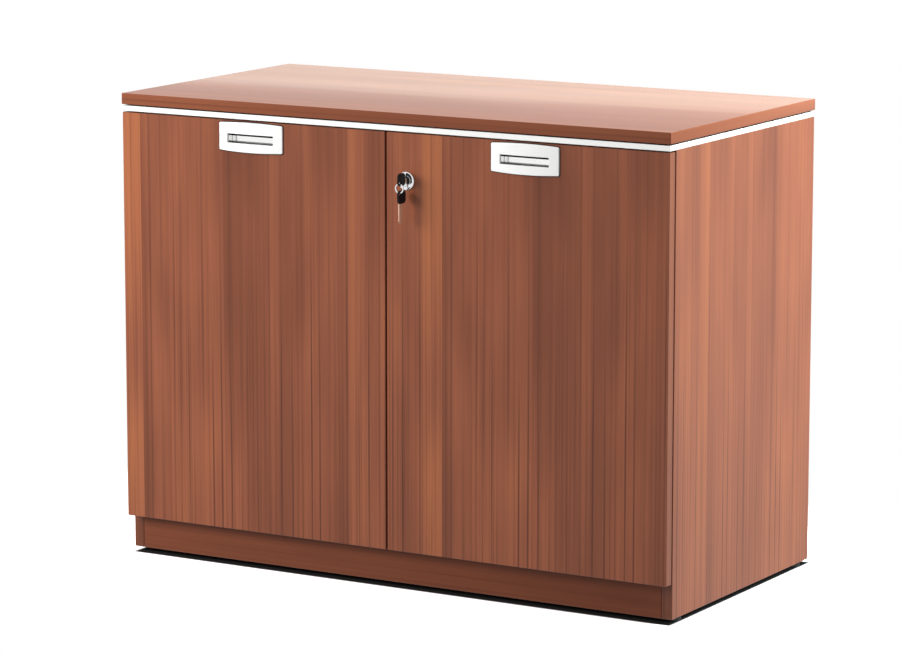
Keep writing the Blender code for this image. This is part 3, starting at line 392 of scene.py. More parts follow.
def dress(mat, *nodes, soften=0.0):
    """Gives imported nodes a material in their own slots, and softens their edges by a width in mm."""
    for name in nodes:
        obj = frame["nodes"][name]
        for slot in obj.material_slots:
            slot.link = "OBJECT"
            slot.material = mat
        if soften:
            weld = obj.modifiers.new("Join", "WELD")
            weld.merge_threshold = 1e-6
            bevel = obj.modifiers.new("Edge", "BEVEL")
            bevel.width = soften * MM
            bevel.segments = 2
            bevel.limit_method = "ANGLE"


def middle_of(node):
    """The middle of a node's box at rest."""
    low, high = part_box(node)
    return np.array((low + high) / 2)


class LaminateLooks(bpy.types.PropertyGroup):
    """Colours and spacing of the printed boards and the hardboard back."""
    dark: StringProperty(name="Dark", description="Darkest planks of the print", default="#643420")
    brown: StringProperty(name="Brown", description="Greyish brown planks", default="#7B432C")
    red: StringProperty(name="Red", description="Reddish planks, the main tone", default="#915237")
    orange: StringProperty(name="Orange", description="Pale orange strips", default="#AC663F")
    # The veins' colour is also the dark of the painted shade on board edges.
    vein_and_edge_shade: StringProperty(name="Vein", description="Thin dark veins between planks", default="#481F10")
    plank_width: FloatProperty(name="Plank width", description="Mean width of a plank in the print",
                               default=0.019, unit="LENGTH")
    print_repeat: FloatProperty(name="Repeat", default=0.567, unit="LENGTH",
                                description="Distance after which the print repeats across the grain")
    roughness: FloatProperty(name="Roughness", description="Roughness of the melamine face",
                             default=0.36, subtype="FACTOR", min=0, max=1)
    gloss: FloatProperty(name="Gloss", description="Strength of the melamine face's reflection",
                         default=0.35, subtype="FACTOR", min=0, max=1)
    hardboard: StringProperty(name="Hardboard", description="Pressed fibres of the back", default="#96735C")
    fibre: StringProperty(name="Fibre", description="Darker fibres in the back", default="#70543F")


class FittingLooks(bpy.types.PropertyGroup):
    """Colours and small sizes of the fittings."""
    white: StringProperty(name="White", description="Moulded white of the band and pulls", default="#F8F8F6")
    black: StringProperty(name="Black", description="Moulded black of the keys' heads", default="#0E0C0C")
    chrome: StringProperty(name="Chrome", description="Plated lock, ring and shelf pins", default="#E8E9EB")
    nickel: StringProperty(name="Nickel", description="Plated hinges and bolt", default="#C9C5BC")
    zinc: StringProperty(name="Zinc", description="Plated screws of the hinges", default="#B9BBBD")
    key_steel: StringProperty(name="Key steel", description="Warm plated steel of the key blades",
                              default="#E3BCA4")
    clear: StringProperty(name="Clear", description="Clear plastic of the door bumpers", default="#DCDCDA")
    # Painted shade: the colour laid in the band's groove and behind its lip, round the pull plates' feet and
    # on the pull cups' walls.
    seam: StringProperty(name="Seam", description="Dark seams round white pieces and in the pull cups",
                         default="#0C0807")
    groove: FloatProperty(name="Groove", description="Height of the shadow groove above the band",
                          default=0.0018, unit="LENGTH")
    groove_depth: FloatProperty(name="Groove depth", description="Depth of the shadow groove",
                                default=0.008, unit="LENGTH")
    band_drop: FloatProperty(name="Band drop", description="Reach of the band's lip down over the carcass",
                             default=0.0008, unit="LENGTH")
    # The painted shadow round each pull plate's foot is this wide.
    shadow_line_width: FloatProperty(name="Seam width", description="Width of the seam round a pull plate",
                              default=0.0013, unit="LENGTH")
    plate_edge: FloatProperty(name="Plate edge", description="Radius of the pull plate's outer edge",
                              default=0.001, unit="LENGTH")


class StageLooks(bpy.types.PropertyGroup):
    """Camera, floor and light."""
    lens: FloatProperty(name="Lens", description="Focal length on a 36 mm sensor", default=165.04,
                        unit="CAMERA")
    place: FloatVectorProperty(name="Camera", description="Where the camera stands",
                               default=(3.3259, -5.6818, 1.5432), unit="LENGTH", subtype="TRANSLATION")
    yaw: FloatProperty(name="Yaw", description="Turn of the camera to the left of straight ahead",
                       default=radians(30.517), unit="ROTATION")
    pitch: FloatProperty(name="Pitch", description="How far the camera looks down", default=radians(10.002),
                         unit="ROTATION")
    ambient: FloatProperty(name="Ambient", description="Even light from all round", default=0.43, min=0)
    key: FloatProperty(name="Key", description="Power of the light on the right", default=100.0,
                       unit="POWER", min=0)
    overhead: FloatProperty(name="Overhead", description="Power of the light above", default=28.0,
                            unit="POWER", min=0)
    fill: FloatProperty(name="Fill", description="Power of the light in front", default=118.0,
                        unit="POWER", min=0)
    strip: FloatProperty(name="Strip", description="Power of the strip behind, seen only in the top's gloss",
                         default=0.29, unit="POWER", min=0)
    floor: FloatProperty(name="Floor", description="How pale the floor looks to the camera", default=2.2,
                         min=0)
    # The painted shadow on the floor fades out over this distance.
    shadow_reach: FloatProperty(name="Shadow reach", default=0.008, unit="LENGTH", min=0,
                                description="Distance from the credenza at which the floor is white")


class CREDENZA_OT_boards(bpy.types.Operator):
    """Gives the carcass and the doors their printed boards"""
    bl_idname = "credenza.boards"
    bl_label = "Boards"

    def execute(self, context):
        looks = context.scene.credenza_laminate
        upright, round_corner = (0, 0, 1), (1, 1, 0)
        level_grain = ((1, 0, 0), (0, 1, 0), "UV")
        # Painted shade on edges: the doors' right and top edges, the sides' front edges and the top's front
        # edge are darkened by the way they face.
        doors = laminate("Melamine board, upright print", looks, upright, round_corner, start=0.135,
                         vein_heights=(0.3, 0.6), painted_edge_shade=(0.35, 0, 0.7))
        sides = laminate("Melamine board, side print", looks, upright, (1, -1, 0), start=0.36, lift=0.08,
                         contrast=0.75, vein_heights=(0.15, 0.5), painted_edge_shade=(0, -0.62, 0))
        inner = laminate("Melamine board, inner print", looks, (1, 0, 0), (0, 1, 1), start=0.21)
        level = laminate("Melamine board, level print", looks, *level_grain, start=0.13)
        # Painted light: the top's print is made paler by its lift, for the light and sheen that fall on it
        # from above.
        top = laminate("Melamine board, top print", looks, *level_grain, start=0.32, lift=0.13,
                       contrast=0.4, vein_heights=FAINT_VEINS, painted_edge_shade=(0, -0.3, 0))
        # Painted shade: the plinth's print is darkened by its lift, for the shade under the doors' overhang.
        plinth = laminate("Melamine board, plinth print", looks, *level_grain, start=0.4, lift=-0.28,
                          contrast=0.5, vein_heights=FAINT_VEINS)
        # The top is lacquered, so a sharper sheen lies over its print.
        polish = top.node_tree.nodes["Principled BSDF"].inputs
        polish["Coat Weight"].default_value = 0.24
        polish["Coat Roughness"].default_value = 0.1
        polish["Specular IOR Level"].default_value = 0.1
        plinth.node_tree.nodes["Principled BSDF"].inputs["Specular IOR Level"].default_value = 0.2
        # Hardboard is pressed from fibres, so it is matt, with soft clouds of a darker brown.
        fibre = plain("Hardboard back", looks.hardboard, 0.62, grain_mm=1.6, depth=0.25, mottle=0.1,
                      fleck=looks.fibre)
        dress(doors, "door_left", "door_right")
        dress(sides, "side_panel_left", "side_panel_right")
        dress(inner, "sub_top")
        dress(fibre, "back_panel")
        for mat, *nodes in ((top, "top_panel"), (plinth, "plinth_front", "plinth_back"),
                            (level, "bottom_panel", "shelf")):
            for node in nodes:
                stand_for(board(node + "_board", node, mat), "carcass", "wood_print", node)
        return {"FINISHED"}


class CREDENZA_OT_trim(bpy.types.Operator):
    """Makes the white band under the top, with a shadow groove along its upper edge"""
    bl_idname = "credenza.trim"
    bl_label = "White band"

    def execute(self, context):
        looks = context.scene.credenza_fittings
        # PVC leaves its mould an even white with a soft half-gloss.
        white = plain("Moulded white PVC", looks.white, 0.3, grain_mm=1.0, depth=0.03)
        dark = painted_shade_material(looks)
        for word in ("front", "back", "left", "right"):
            stand_for(self.strip(word, looks, white, dark), "carcass", "white_plastic", f"trim_{word}")
        return {"FINISHED"}

    def strip(self, word, looks, white, dark):
        """One mitred strip: a grooved profile (depth, height) whose two ends draw in by the depth.

        Painted shade darkens its groove and the faces behind its lip.
        """
        low, high = (np.array(corner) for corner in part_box(f"trim_{word}"))
        ends = 0 if word in ("front", "back") else 1
        deep = 1 - ends
        outward = -1 if word in ("front", "left") else 1
        width, edge, lip_thick = high[deep] - low[deep], 0.5 * MM, 1.2 * MM
        brow, lip = high[2] - looks.groove, low[2] - looks.band_drop
        profile = np.array([(width, high[2]), (looks.groove_depth, high[2]), (looks.groove_depth, brow),
                            (edge, brow), (0.0, brow - edge), (0.0, lip + edge), (edge, lip),
                            (lip_thick, lip), (lip_thick, low[2]), (width, low[2])])
        outer = low[deep] if outward < 0 else high[deep]
        rows = np.zeros((2, len(profile), 3))
        rows[..., deep] = outer - outward * profile[:, 0]
        rows[..., 2] = profile[:, 1]
        rows[0, :, ends] = low[ends] + profile[:, 0]
        rows[1, :, ends] = high[ends] - profile[:, 0]
        # Painted shade: faces marked 1 take the dark material.
        return skin(f"band_{word}", rows, white, dark, sharp=20, tones=[1, 1, 1, 0, 0, 0, 0, 1, 1, 0])


class CREDENZA_OT_pulls(bpy.types.Operator):
    """Makes the crowned white plates with their finger slots, and the bright cups behind them"""
    bl_idname = "credenza.pulls"
    bl_label = "Pulls"

    def execute(self, context):
        looks = context.scene.credenza_fittings
        # ABS from a polished mould is white, smooth and slightly glossy.
        white = plain("Moulded white ABS", looks.white, 0.25, grain_mm=0.8, depth=0.02)
        # Chrome on plastic is bright, and a little soft in what it mirrors.
        chrome = plain("Bright chrome cup", looks.white, 0.1, 0.9, grain_mm=0.5, depth=0.01, mottle=0.06)
        dark = painted_shade_material(looks)
        for word in SIDES:
            body = f"{word}_door"
            stand_for(self.plate(word, looks, white, dark), body, "white_plastic", f"handle_plate_{word}")
            stand_for(self.cup(word, chrome, dark), body, "bright_metal", f"handle_cup_{word}")
        return {"FINISHED"}

    def plate(self, word, looks, white, dark):
        """Loops from the outer edge over the crowned face to the slot, and back along the door.

        The face stands proud by e + c (1 - (2x / L)^2), and the long edges bow out by the same rule. A flat
        band of painted shadow runs round the plate's foot on the door.
        """
        low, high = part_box(f"handle_plate_{word}")
        length = high.x - low.x
        bow, end_thick, corner = 2.0 * MM, 1.6 * MM, 2.2 * MM
        end_height = high.z - low.z - 2 * bow
        crown = high.y - low.y - end_thick
        edge, lip, shadow_line_thick = looks.plate_edge, 0.6 * MM, 0.1 * MM
        slot_drop, slot_length, slot_height, slot_corner = 2.4 * MM, 86 * MM, 15 * MM, 1.2 * MM
        steps = dict(side_steps=(30, 10), corner_steps=6)

        def swell(x):
            return 1 - (2 * x / length) ** 2

        def outer(inset):
            flat = rounded(length - 2 * inset, end_height - 2 * inset, corner - inset, **steps)
            flat[:, 1] *= 1 + bow * swell(flat[:, 0]) / (end_height / 2)
            return flat

        def inner(outset):
            flat = rounded(slot_length + 2 * outset, slot_height + 2 * outset, slot_corner + outset, **steps)
            return flat - np.array([0, slot_drop])

        def row(flat, sink):
            return np.column_stack([flat[:, 0], sink - end_thick - crown * swell(flat[:, 0]), flat[:, 1]])

        def foot(flat, lift):
            return np.column_stack([flat[:, 0], np.full(len(flat), -lift), flat[:, 1]])

        first, last, seam = outer(edge), inner(lip), outer(-looks.shadow_line_width)
        quarter = np.linspace(0, pi / 2, 6)
        rows = [foot(seam, 0), foot(seam, shadow_line_thick), foot(outer(0), shadow_line_thick)]
        rows += [row(outer(edge * (1 - cos(t))), edge * (1 - sin(t))) for t in quarter]
        rows += [row(first * (1 - share) + last * share, 0) for share in np.linspace(0, 1, 12)[1:-1]]
        rows += [row(inner(lip * (1 - cos(t))), lip * (1 - sin(t))) for t in quarter[::-1]]
        rows += [foot(inner(0), 0)]
        middle = np.array([(low.x + high.x) / 2, high.y, (low.z + high.z) / 2])
        # Painted shadow: the first two rows, on the door round the foot, take the dark material.
        tones = np.isin(np.arange(len(rows)), (0, 1))[:, None]
        return skin(f"pull_plate_{word}", np.array(rows) + middle, white, dark, closed=True, sharp=50,
                    tones=tones)

    def cup(self, word, chrome, dark):
        """A pan of rounded outlines: its shell, its inner walls, a sunk border and a raised panel.

        The long walls and the border carry painted shade, and the panel lies lower than the middle of the
        cup's floor.
        """
        low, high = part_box(f"handle_cup_{word}")
        wall, rise, corner = 1.4 * MM, 0.6 * MM, 0.9 * MM
        full = np.array([high.x - low.x, high.z - low.z])
        depth = high.y - low.y
        ends, above, below = 0.4 * MM, 7.4 * MM, 2.1 * MM

        def loop(size, at, drop=0.0):
            flat = rounded(*size, corner, side_steps=(16, 6))
            return np.column_stack([flat[:, 0], np.full(len(flat), at), flat[:, 1] - drop])

        inside = full - 2 * wall
        panel = inside - np.array([2 * ends, above + below])
        drop = (above - below) / 2
        rows = np.array([loop(full, depth), loop(full, 0.0), loop(inside, 0.0), loop(inside, depth - wall),
                         loop(panel, depth - wall, drop), loop(panel, depth - wall - rise, drop)])
        across = np.abs(rows[3] - np.roll(rows[3], -1, axis=0))
        long_side = across[:, 0] > across[:, 2]
        none, border = np.zeros(len(long_side)), np.ones(len(long_side))
        # Painted shade on the long walls and on the border round the panel.
        tones = np.array([none, none, long_side, border, border])
        middle = np.array([(low.x + high.x) / 2, low.y, (low.z + high.z) / 2])
        return skin(f"pull_cup_{word}", rows + middle, chrome, dark, tones=tones)


class CREDENZA_OT_lock(bpy.types.Operator):
    """Makes the lock's rosette and housing, the two keys and the split ring"""
    bl_idname = "credenza.lock"
    bl_label = "Lock and keys"
    # A key's head in mm: its size, its ring hole's distance from two edges, and its middle above the blade's.
    head_length, head_width, hole_inset, head_rise = 20.5, 20.0, 4.6, 3.5

    def execute(self, context):
        looks = context.scene.credenza_fittings
        # Polished chrome mirrors the pale room.
        chrome = plain("Chrome plate", looks.chrome, 0.06, 1.0, grain_mm=0.5, depth=0.01, mottle=0.03)
        # Nickel plate is a warm grey with a soft, uneven shine.
        nickel = plain("Nickel-plated steel", looks.nickel, 0.26, 1.0, grain_mm=0.7, depth=0.05, mottle=0.1)
        # Tumbled and thinly plated steel is pale, warm and half matt.
        steel = plain("Plated key steel", looks.key_steel, 0.45, 0.45, grain_mm=0.6, depth=0.05, mottle=0.1)
        # ABS from an etched mould is black, with hardly any shine.
        black = plain("Moulded black ABS", looks.black, 0.6, grain_mm=0.35, depth=0.2, mottle=0.1)
        black.node_tree.nodes["Principled BSDF"].inputs["Specular IOR Level"].default_value = 0.25
        dress(chrome, "lock_plug")
        dress(nickel, "lock_nut", "lock_cam", "strike_plate", soften=0.4)
        self.barrel(chrome)
        low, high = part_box("cam_screw")
        at = middle_of("cam_screw") * (1, 0, 1) + (0, low.y, 0)
        obj = cross_screw("cam_screw_head", at, "Y", nickel, radius=5.0, height=(high.y - low.y) / MM)
        stand_for(obj, "lock_core", "nickel", "cam_screw")
        self.key(steel, black)
        self.spare_key(steel, black)
        self.ring(chrome)
        return {"FINISHED"}

    def barrel(self, mat):
        """A turned rosette with a flat face and a round shoulder, round a turned housing."""
        low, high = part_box("lock_rosette")
        at = middle_of("lock_rosette") * (1, 0, 1) + (0, low.y, 0)
        thick, radius = (high.y - low.y) / MM, (high.x - low.x) / 2 / MM
        bore, shoulder, chamfer = 8.8, 1.8, 0.25
        profile = [(bore, thick), (bore, chamfer), (bore + chamfer, 0.0)]
        profile += [(radius - shoulder * (1 - sin(a)), shoulder * (1 - cos(a)))
                    for a in np.linspace(0, pi / 2, 7)]
        obj = lathe("lock_collar", profile + [(radius, thick)], at, "Y", mat, steps=64, closed=True)
        stand_for(obj, "right_door", "bright_metal", "lock_rosette")
        low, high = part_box("lock_housing")
        deep = (high.y - low.y) / MM
        bore, outside, chamfer = 6.3, 8.5, 0.3
        profile = [(bore, chamfer), (bore + chamfer, 0.0), (outside - chamfer, 0.0), (outside, chamfer),
                   (outside, deep), (bore, deep)]
        obj = lathe("lock_barrel", profile, at, "Y", mat, closed=True)
        stand_for(obj, "right_door", "bright_metal", "lock_housing")

    def head(self):
        """A key's head as loops (along, across, through) in mm about its middle, from rim to ring hole.

        Round outlines draw in by a quarter-round and a small step, then each point moves straight towards
        the point of the hole at its own angle, and the same on the other face.
        """
        length, width = self.head_length, self.head_width
        half, corner, edge, radius = 1.7, 6.0, 0.8, 2.6
        border, step, sunk, lip = 1.0, 0.2, 0.3, 0.5
        hole = np.array([length / 2 - self.hole_inset, self.hole_inset - width / 2])

        def outline(inset):
            return rounded(length - 2 * inset, width - 2 * inset, corner - inset, (4, 4), 6)

        angle = np.arctan2(*(outline(0) - hole).T[::-1])
        around = np.stack([np.cos(angle), np.sin(angle)], axis=-1)
        quarter = np.linspace(0, pi / 2, 5)
        upper = [(outline(edge * (1 - cos(t))), half - edge * (1 - sin(t))) for t in quarter]
        upper += [(outline(border), half), (outline(border + step), half - sunk)]
        first, last = outline(border + step), hole + around * (radius + lip)
        upper += [(first * (1 - s) + last * s, half - sunk) for s in (0.25, 0.5, 0.75, 1.0)]
        upper += [(hole + around * (radius + 0.4 * lip), half - sunk - 0.2 * lip),
                  (hole + around * radius, half - sunk - 0.8 * lip)]
        loops = upper + [(flat, -high) for flat, high in upper[::-1]]
        return np.array([np.column_stack([flat, np.full(len(flat), high)]) for flat, high in loops])

    def blade(self):
        """A key's blade as sections (along, across, through) in mm from its shoulder.

        At distance s the lower edge rises by 0.75 (1 - cos(2 pi s / 4.2)) (0.6 + 0.4 sin 1.7 s), and near the
        tip it slants up to a point. A groove runs along one side.
        """
        length, half, half_thick = 30.0, 4.0, 1.0
        pitch, rise, slant_start, slant_end = 4.2, 0.75, 26.5, -0.5
        groove_low, groove_high, groove_floor = 0.6, 2.2, 0.4
        s = np.linspace(0, length, 121)
        cut = rise * (1 - np.cos(2 * pi * s / pitch)) * (0.6 + 0.4 * np.sin(1.7 * s))
        cut *= (s > pitch) & (s < 6 * pitch)
        low = np.maximum(-half + cut, np.interp(s, [slant_start, length], [-half, slant_end]))
        levels = (groove_low, groove_low, groove_high, groove_high, half, half)
        across = np.stack([low, low] + [np.full(len(s), level) for level in levels], axis=-1)
        through = np.array([-half_thick, half_thick, half_thick, groove_floor, groove_floor, half_thick,
                            half_thick, -half_thick])
        return np.stack(np.broadcast_arrays(s[:, None], across, through), axis=-1)

    def key(self, steel, black):
        """The key in the lock lies along y, with its head in front of the door."""
        centre = middle_of("key_bow")
        head = self.head() * MM
        rows = np.stack([head[..., 2], -head[..., 0], head[..., 1]], axis=-1) + centre
        stand_for(skin("key_head", rows, black, closed=True), "key", "black_plastic", "key_bow")
        shoulder = middle_of("key_blade") * (1, 0, 1) + (0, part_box("key_blade")[0].y, 0)
        blade = self.blade() * MM
        rows = np.stack([blade[..., 2], blade[..., 0], blade[..., 1]], axis=-1) + shoulder
        stand_for(skin("key_shank", rows, steel, sharp=25), "key", "nickel", "key_blade")

    def spare_key(self, steel, black):
        """The spare key hangs from the ring with its blade down, turned a little about the upright."""
        hang = np.array(JOINTS["spare_key_swing"]["pos_m"])
        twist, hole_drop, gap = radians(-4.0), 1.1, 0.3
        spin = np.array([[cos(twist), -sin(twist), 0], [sin(twist), cos(twist), 0], [0, 0, 1]])
        across = self.head_width / 2 - self.hole_inset
        along = self.hole_inset - self.head_length / 2 - hole_drop
        head = self.head()
        rows = np.stack([head[..., 2], head[..., 1] + across, head[..., 0] + along], axis=-1)
        obj = skin("spare_key_head", rows @ spin.T * MM + hang, black, closed=True)
        stand_for(obj, "spare_key", "black_plastic", "spare_key_bow")
        across -= self.head_rise
        along -= self.head_length / 2 + gap
        blade = self.blade()
        rows = np.stack([blade[..., 2], blade[..., 1] + across, along - blade[..., 0]], axis=-1)
        obj = skin("spare_key_shank", rows @ spin.T * MM + hang, steel, sharp=25)
        stand_for(obj, "spare_key", "nickel", "spare_key_blade")

    def ring(self, mat):
        """A split ring: a flat wire carried twice round a circle while it moves its width along the axis."""
        low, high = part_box("key_ring")
        half_width, half_thick, corner, turns = 1.0, 0.5, 0.3, 1.98
        mean = (high.x - low.x) / 2 / MM - half_width
        turn = np.linspace(0, 2 * pi * turns, 160)[:, None]
        section = rounded(2 * half_width, 2 * half_thick, corner, corner_steps=2)
        radius = mean + section[:, 0]
        shift = section[:, 1] + half_thick * (turn / (2 * pi) - 1)
        rows = np.stack([radius * np.sin(turn), shift, -radius * np.cos(turn)], axis=-1)
        obj = skin("split_ring", rows * MM + middle_of("key_ring"), mat)
        stand_for(obj, "key_loop", "bright_metal", "key_ring")


class CREDENZA_OT_hinges(bpy.types.Operator):
    """Gives the concealed hinges and the bolt their plated finish, and makes the hinges' screws"""
    bl_idname = "credenza.hinges"
    bl_label = "Hinges and bolt"

    def execute(self, context):
        looks = context.scene.credenza_fittings
        # Plated pressings are a warm grey, with a faint unevenness in their shine.
        nickel = plain("Nickel-plated pressings", looks.nickel, 0.24, 1.0, grain_mm=0.7, depth=0.04,
                       mottle=0.1)
        # Zinc plate is a cooler grey than nickel, and duller.
        zinc = plain("Zinc-plated screws", looks.zinc, 0.3, 1.0, grain_mm=0.4, depth=0.05, mottle=0.1)
        dress(nickel, "bolt_body", "bolt_slide", "bolt_keeper", soften=0.5)
        for word, side in SIDES.items():
            for end in LEVELS:
                dress(nickel, f"hinge_cup_{word}_{end}")
                dress(nickel, *(f"hinge_{part}_{word}_{end}" for part in ("arm", "link")), soften=0.3)
                self.screws(word, side, end, zinc)
        return {"FINISHED"}

    def screws(self, word, side, end, mat):
        """Two screws through the cup's flange and two through the arm's mounting plate."""
        cup_inset, cup_apart = 25.3 * MM, 22.0 * MM
        plate_inset, plate_back, plate_apart = 21.75 * MM, 63 * MM, 16.5 * MM
        low, high = (np.array(corner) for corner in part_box(f"hinge_cup_{word}_{end}"))
        level = (low[2] + high[2]) / 2
        outer = high[0] if side > 0 else low[0]
        corner = np.array(JOINTS[f"{word}_door_swing"]["pos_m"])
        for sign, place in ((-1, "below"), (1, "above")):
            at = (outer - side * cup_inset, high[1], level + sign * cup_apart)
            obj = cross_screw(f"cup_screw_{word}_{end}_{place}", at, "Y", mat, radius=3.4, height=1.4)
            stand_for(obj, f"{word}_door", "nickel")
            at = (corner[0] - side * plate_inset, corner[1] + plate_back, level + sign * plate_apart)
            obj = cross_screw(f"plate_screw_{word}_{end}_{place}", at, "X", mat, radius=3.8, height=1.8,
                              flip=side > 0)
            stand_for(obj, "carcass", "nickel")


class CREDENZA_OT_small_fittings(bpy.types.Operator):
    """Makes the shelf pins, the glides and the door bumpers"""
    bl_idname = "credenza.small_fittings"
    bl_label = "Small fittings"

    def execute(self, context):
        looks = context.scene.credenza_fittings
        # Turned and plated pins are bright.
        chrome = plain("Plated shelf pin", looks.chrome, 0.15, 1.0, grain_mm=0.5, depth=0.01, mottle=0.05)
        # The glides' plastic is black and worn half matt.
        black = plain("Moulded black glide", looks.black, 0.5, grain_mm=0.5, depth=0.1)
        # Soft clear plastic is pale, with a smooth shine.
        clear = plain("Clear soft bumper", looks.clear, 0.3, grain_mm=0.5, depth=0.02)
        for word, side in SIDES.items():
            for end in ("front", "back"):
                obj = self.pin(word, side, end, chrome)
                stand_for(obj, "carcass", "bright_metal", f"shelf_pin_{word}_{end}")
                stand_for(self.glide(word, end, black), "carcass", "black_plastic", f"glide_{word}_{end}")
            for end in LEVELS:
                obj = self.bumper(word, end, clear)
                stand_for(obj, f"{word}_door", "clear_plastic", f"bumper_{word}_{end}")
        return {"FINISHED"}

    def pin(self, word, side, end, mat):
        """A turned pin with a thin collar where it leaves the side panel."""
        node = f"shelf_pin_{word}_{end}"
        low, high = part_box(node)
        at = middle_of(node) * (0, 1, 1) + (low.x if side < 0 else high.x, 0, 0)
        tip, stem, collar, length = 0.3, 2.5, 3.6, 18.0
        profile = [(tip, 0.0), (stem - 0.6, 0.0), (stem, 0.6), (stem, 8.5), (collar - 0.2, 8.6),
                   (collar, 8.8), (collar, 9.4), (collar - 0.2, 9.6), (stem, 9.7), (stem, length - 0.8),
                   (stem - 0.2, length - 0.3), (stem - 0.8, length), (tip, length)]
        return lathe(node + "_turned", profile, at, "X", mat, steps=32, flip=side > 0)

    def glide(self, word, end, mat):
        """A moulded foot with a round lower edge, and a stem in the side panel."""
        node = f"glide_{word}_{end}"
        at = middle_of(node) * (1, 1, 0)
        tip, radius, edge, height, stem, top = 0.3, 8.0, 1.4, 5.7, 3.0, 15.7
        foot = [(radius - edge * (1 - sin(a)), edge * (1 - cos(a))) for a in np.linspace(0, pi / 2, 6)]
        profile = [(tip, 0.0)] + foot + [(radius, height - 0.3), (radius - 0.3, height), (stem, height),
                                         (stem, top - 0.7), (stem - 0.7, top), (tip, top)]
        return lathe(node + "_foot", profile, at, "Z", mat, steps=40)

    def bumper(self, word, end, mat):
        """A flat dome, r = R cos a and h = H sin a above its rim."""
        node = f"bumper_{word}_{end}"
        low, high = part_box(node)
        at = middle_of(node) * (1, 0, 1) + (0, low.y, 0)
        thick, radius, rim, tip = (high.y - low.y) / MM, 4.0, 0.3, 0.2
        dome = [(radius * cos(a), rim + (thick - rim) * sin(a)) for a in np.linspace(0, radians(86), 8)]
        return lathe(node + "_dome", [(tip, 0.0), (radius, 0.0)] + dome, at, "Y", mat, steps=32, sharp=60)


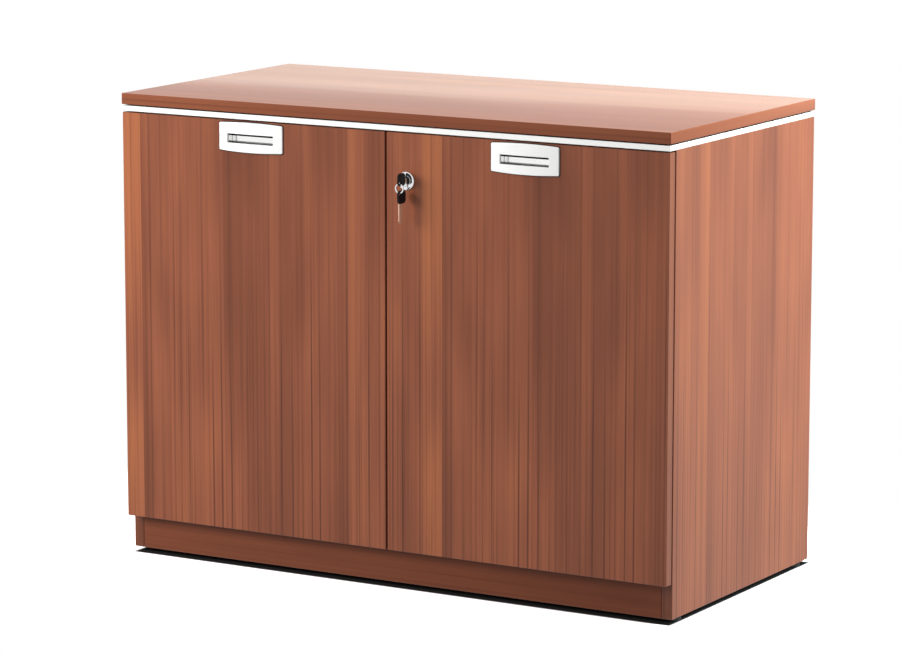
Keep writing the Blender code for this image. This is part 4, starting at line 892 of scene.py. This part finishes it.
class CREDENZA_OT_stage(bpy.types.Operator):
    """Sets the floor, the light and the camera"""
    bl_idname = "credenza.stage"
    bl_label = "Stage"

    def execute(self, context):
        looks = context.scene.credenza_stage
        scene = context.scene
        scene.view_settings.view_transform = "Standard"
        self.world(scene, looks)
        self.floor(looks)
        middle, cool, warm = (0, 0, 0.4), (0.92, 1.0, 1.0), (1.0, 0.87, 0.68)
        self.lamp("Key light", looks.key, place=(1.9, 1.0, 1.6), aim=middle, size=(1.2, 1.2), colour=cool)
        self.lamp("Overhead light", looks.overhead, place=(0, 0.3, 4.0), aim=(0, 0.3, 0), size=(2.5, 2.5))
        self.lamp("Fill light", looks.fill, place=(-2.4, -1.9, 1.4), aim=middle, size=(1.6, 1.6))
        strip = self.lamp("Strip light", looks.strip, place=(-0.1, 0.42, 0.784), aim=(-0.1, -1, 0.784),
                          size=(1.8, 0.046), colour=warm)
        strip.visible_glossy = True
        strip.visible_diffuse = False
        camera = bpy.data.objects.new("Camera", bpy.data.cameras.new("Camera"))
        scene.collection.objects.link(camera)
        camera.data.lens = looks.lens
        camera.data.sensor_width = 36
        camera.location = looks.place
        camera.rotation_euler = (pi / 2 - looks.pitch, 0, looks.yaw)
        scene.camera = camera
        return {"FINISHED"}

    def seen(self, tree):
        """One for rays from the camera, off gloss and through glass, and zero for rays that give light."""
        path = add(tree, "ShaderNodeLightPath").outputs
        direct = add(tree, "ShaderNodeMath", {0: path["Is Camera Ray"], 1: path["Is Glossy Ray"]},
                     operation="MAXIMUM").outputs[0]
        return add(tree, "ShaderNodeMath", {0: direct, 1: path["Is Transmission Ray"]},
                   operation="MAXIMUM").outputs[0]

    def world(self, scene, looks):
        """White for the camera and for reflections, and an even, weaker light on the object."""
        world = bpy.data.worlds.new("Studio")
        world.use_nodes = True
        scene.world = world
        tree = world.node_tree
        tree.nodes.clear()
        dim = add(tree, "ShaderNodeBackground", {"Color": grey(1.0), "Strength": looks.ambient})
        white = add(tree, "ShaderNodeBackground", {"Color": grey(1.0), "Strength": 1.0})
        mix = add(tree, "ShaderNodeMixShader", {0: self.seen(tree), 1: dim.outputs[0], 2: white.outputs[0]})
        add(tree, "ShaderNodeOutputWorld", {"Surface": mix.outputs[0]})

    def floor(self, looks):
        """A wide pale floor at z = 0: to the camera it carries a painted shadow, dark under the credenza, and
        is white away from it.

        Its distance from a rectangle under the carcass, of half sides a and b, is the length of the vector
        (max(|x| - a, 0), max(|y| - b, 0)). Rays that light the credenza meet an even grey.
        """
        reach, under, bounce, white_from, white_by = 30.0, 0.02, 0.3, 0.1, 0.4
        mat = bpy.data.materials.new("Pale studio floor")
        mat.use_nodes = True
        tree = mat.node_tree
        tree.nodes.clear()
        low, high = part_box("plinth_front")[0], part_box("side_panel_right")[1]
        low.x = middle_of("side_panel_left")[0]
        low.y = (low.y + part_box("door_left")[0].y) / 2
        middle, half = (low + high) / 2, (high - low) / 2
        vector = "ShaderNodeVectorMath"
        away = add(tree, "ShaderNodeTexCoord").outputs["Object"]
        away = add(tree, vector, {0: away, 1: (middle.x, middle.y, 0)}, operation="SUBTRACT").outputs[0]
        away = add(tree, vector, {0: away}, operation="ABSOLUTE").outputs[0]
        away = add(tree, vector, {0: away, 1: (half.x, half.y, 0)}, operation="SUBTRACT").outputs[0]
        away = add(tree, vector, {0: away, 1: (0, 0, 0)}, operation="MAXIMUM").outputs[0]
        away = add(tree, vector, {0: away}, operation="LENGTH").outputs["Value"]
        # Painted shadow: the floor's colour rises from nearly black at the rectangle to pale at the shadow
        # reach.
        pale = add(tree, "ShaderNodeMapRange", {"Value": away, "From Max": looks.shadow_reach,
                                                "To Min": under, "To Max": looks.floor}).outputs[0]
        near = add(tree, "ShaderNodeBsdfDiffuse", {"Color": pale}).outputs[0]
        white = add(tree, "ShaderNodeEmission", {"Color": grey(1.0), "Strength": 1.0}).outputs[0]
        far = add(tree, "ShaderNodeMapRange", {"Value": away, "From Min": white_from,
                                               "From Max": white_by}).outputs[0]
        gloss = add(tree, "ShaderNodeLightPath").outputs["Is Glossy Ray"]
        far = add(tree, "ShaderNodeMath", {0: far, 1: gloss}, operation="MAXIMUM").outputs[0]
        shown = add(tree, "ShaderNodeMixShader", {0: far, 1: near, 2: white}).outputs[0]
        matt = add(tree, "ShaderNodeBsdfDiffuse", {"Color": grey(bounce)}).outputs[0]
        mix = add(tree, "ShaderNodeMixShader", {0: self.seen(tree), 1: matt, 2: shown})
        add(tree, "ShaderNodeOutputMaterial", {"Surface": mix.outputs[0]})
        mesh = bpy.data.meshes.new("Floor")
        mesh.from_pydata([(-reach, -reach, 0), (reach, -reach, 0), (reach, reach, 0), (-reach, reach, 0)], [],
                         [(0, 1, 2, 3)])
        mesh.materials.append(mat)
        obj = bpy.data.objects.new("Floor", mesh)
        bpy.context.scene.collection.objects.link(obj)

    def lamp(self, name, power, place, aim, size, colour=(1, 1, 1)):
        """A soft light at a place, turned towards a point, that shows only by what it lights."""
        data = bpy.data.lights.new(name, "AREA")
        data.shape = "RECTANGLE"
        data.size, data.size_y = size
        data.energy = power
        data.color = colour
        obj = bpy.data.objects.new(name, data)
        bpy.context.scene.collection.objects.link(obj)
        obj.location = place
        obj.rotation_euler = (Vector(aim) - Vector(place)).to_track_quat("-Z", "Y").to_euler()
        obj.visible_glossy = False
        obj.visible_camera = False
        return obj


class CREDENZA_PT_panel(bpy.types.Panel):
    """Lists the credenza's pieces and their looks"""
    bl_idname = "CREDENZA_PT_panel"
    bl_label = "Credenza"
    bl_space_type = "VIEW_3D"
    bl_region_type = "UI"
    bl_category = "Credenza"

    def draw(self, context):
        for operator in OPERATORS:
            self.layout.operator(operator.bl_idname)
        for name in GROUPS:
            group = getattr(context.scene, name)
            box = self.layout.box()
            for key in group.__annotations__:
                box.prop(group, key)


GROUPS = {"credenza_laminate": LaminateLooks, "credenza_fittings": FittingLooks, "credenza_stage": StageLooks}
OPERATORS = (CREDENZA_OT_boards, CREDENZA_OT_trim, CREDENZA_OT_pulls, CREDENZA_OT_lock, CREDENZA_OT_hinges,
             CREDENZA_OT_small_fittings, CREDENZA_OT_stage)


def register():
    """Registers the looks, the operators and the panel."""
    for name, group in GROUPS.items():
        bpy.utils.register_class(group)
        setattr(bpy.types.Scene, name, PointerProperty(type=group))
    for made in (*OPERATORS, CREDENZA_PT_panel):
        bpy.utils.register_class(made)


def unregister():
    """Takes back what register did."""
    for made in (CREDENZA_PT_panel, *reversed(OPERATORS)):
        bpy.utils.unregister_class(made)
    for name, group in GROUPS.items():
        delattr(bpy.types.Scene, name)
        bpy.utils.unregister_class(group)


def main():
    """Registers the add-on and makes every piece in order."""
    register()
    bpy.ops.credenza.boards()
    bpy.ops.credenza.trim()
    bpy.ops.credenza.pulls()
    bpy.ops.credenza.lock()
    bpy.ops.credenza.hinges()
    bpy.ops.credenza.small_fittings()
    bpy.ops.credenza.stage()


if __name__ == "__main__":
    main()
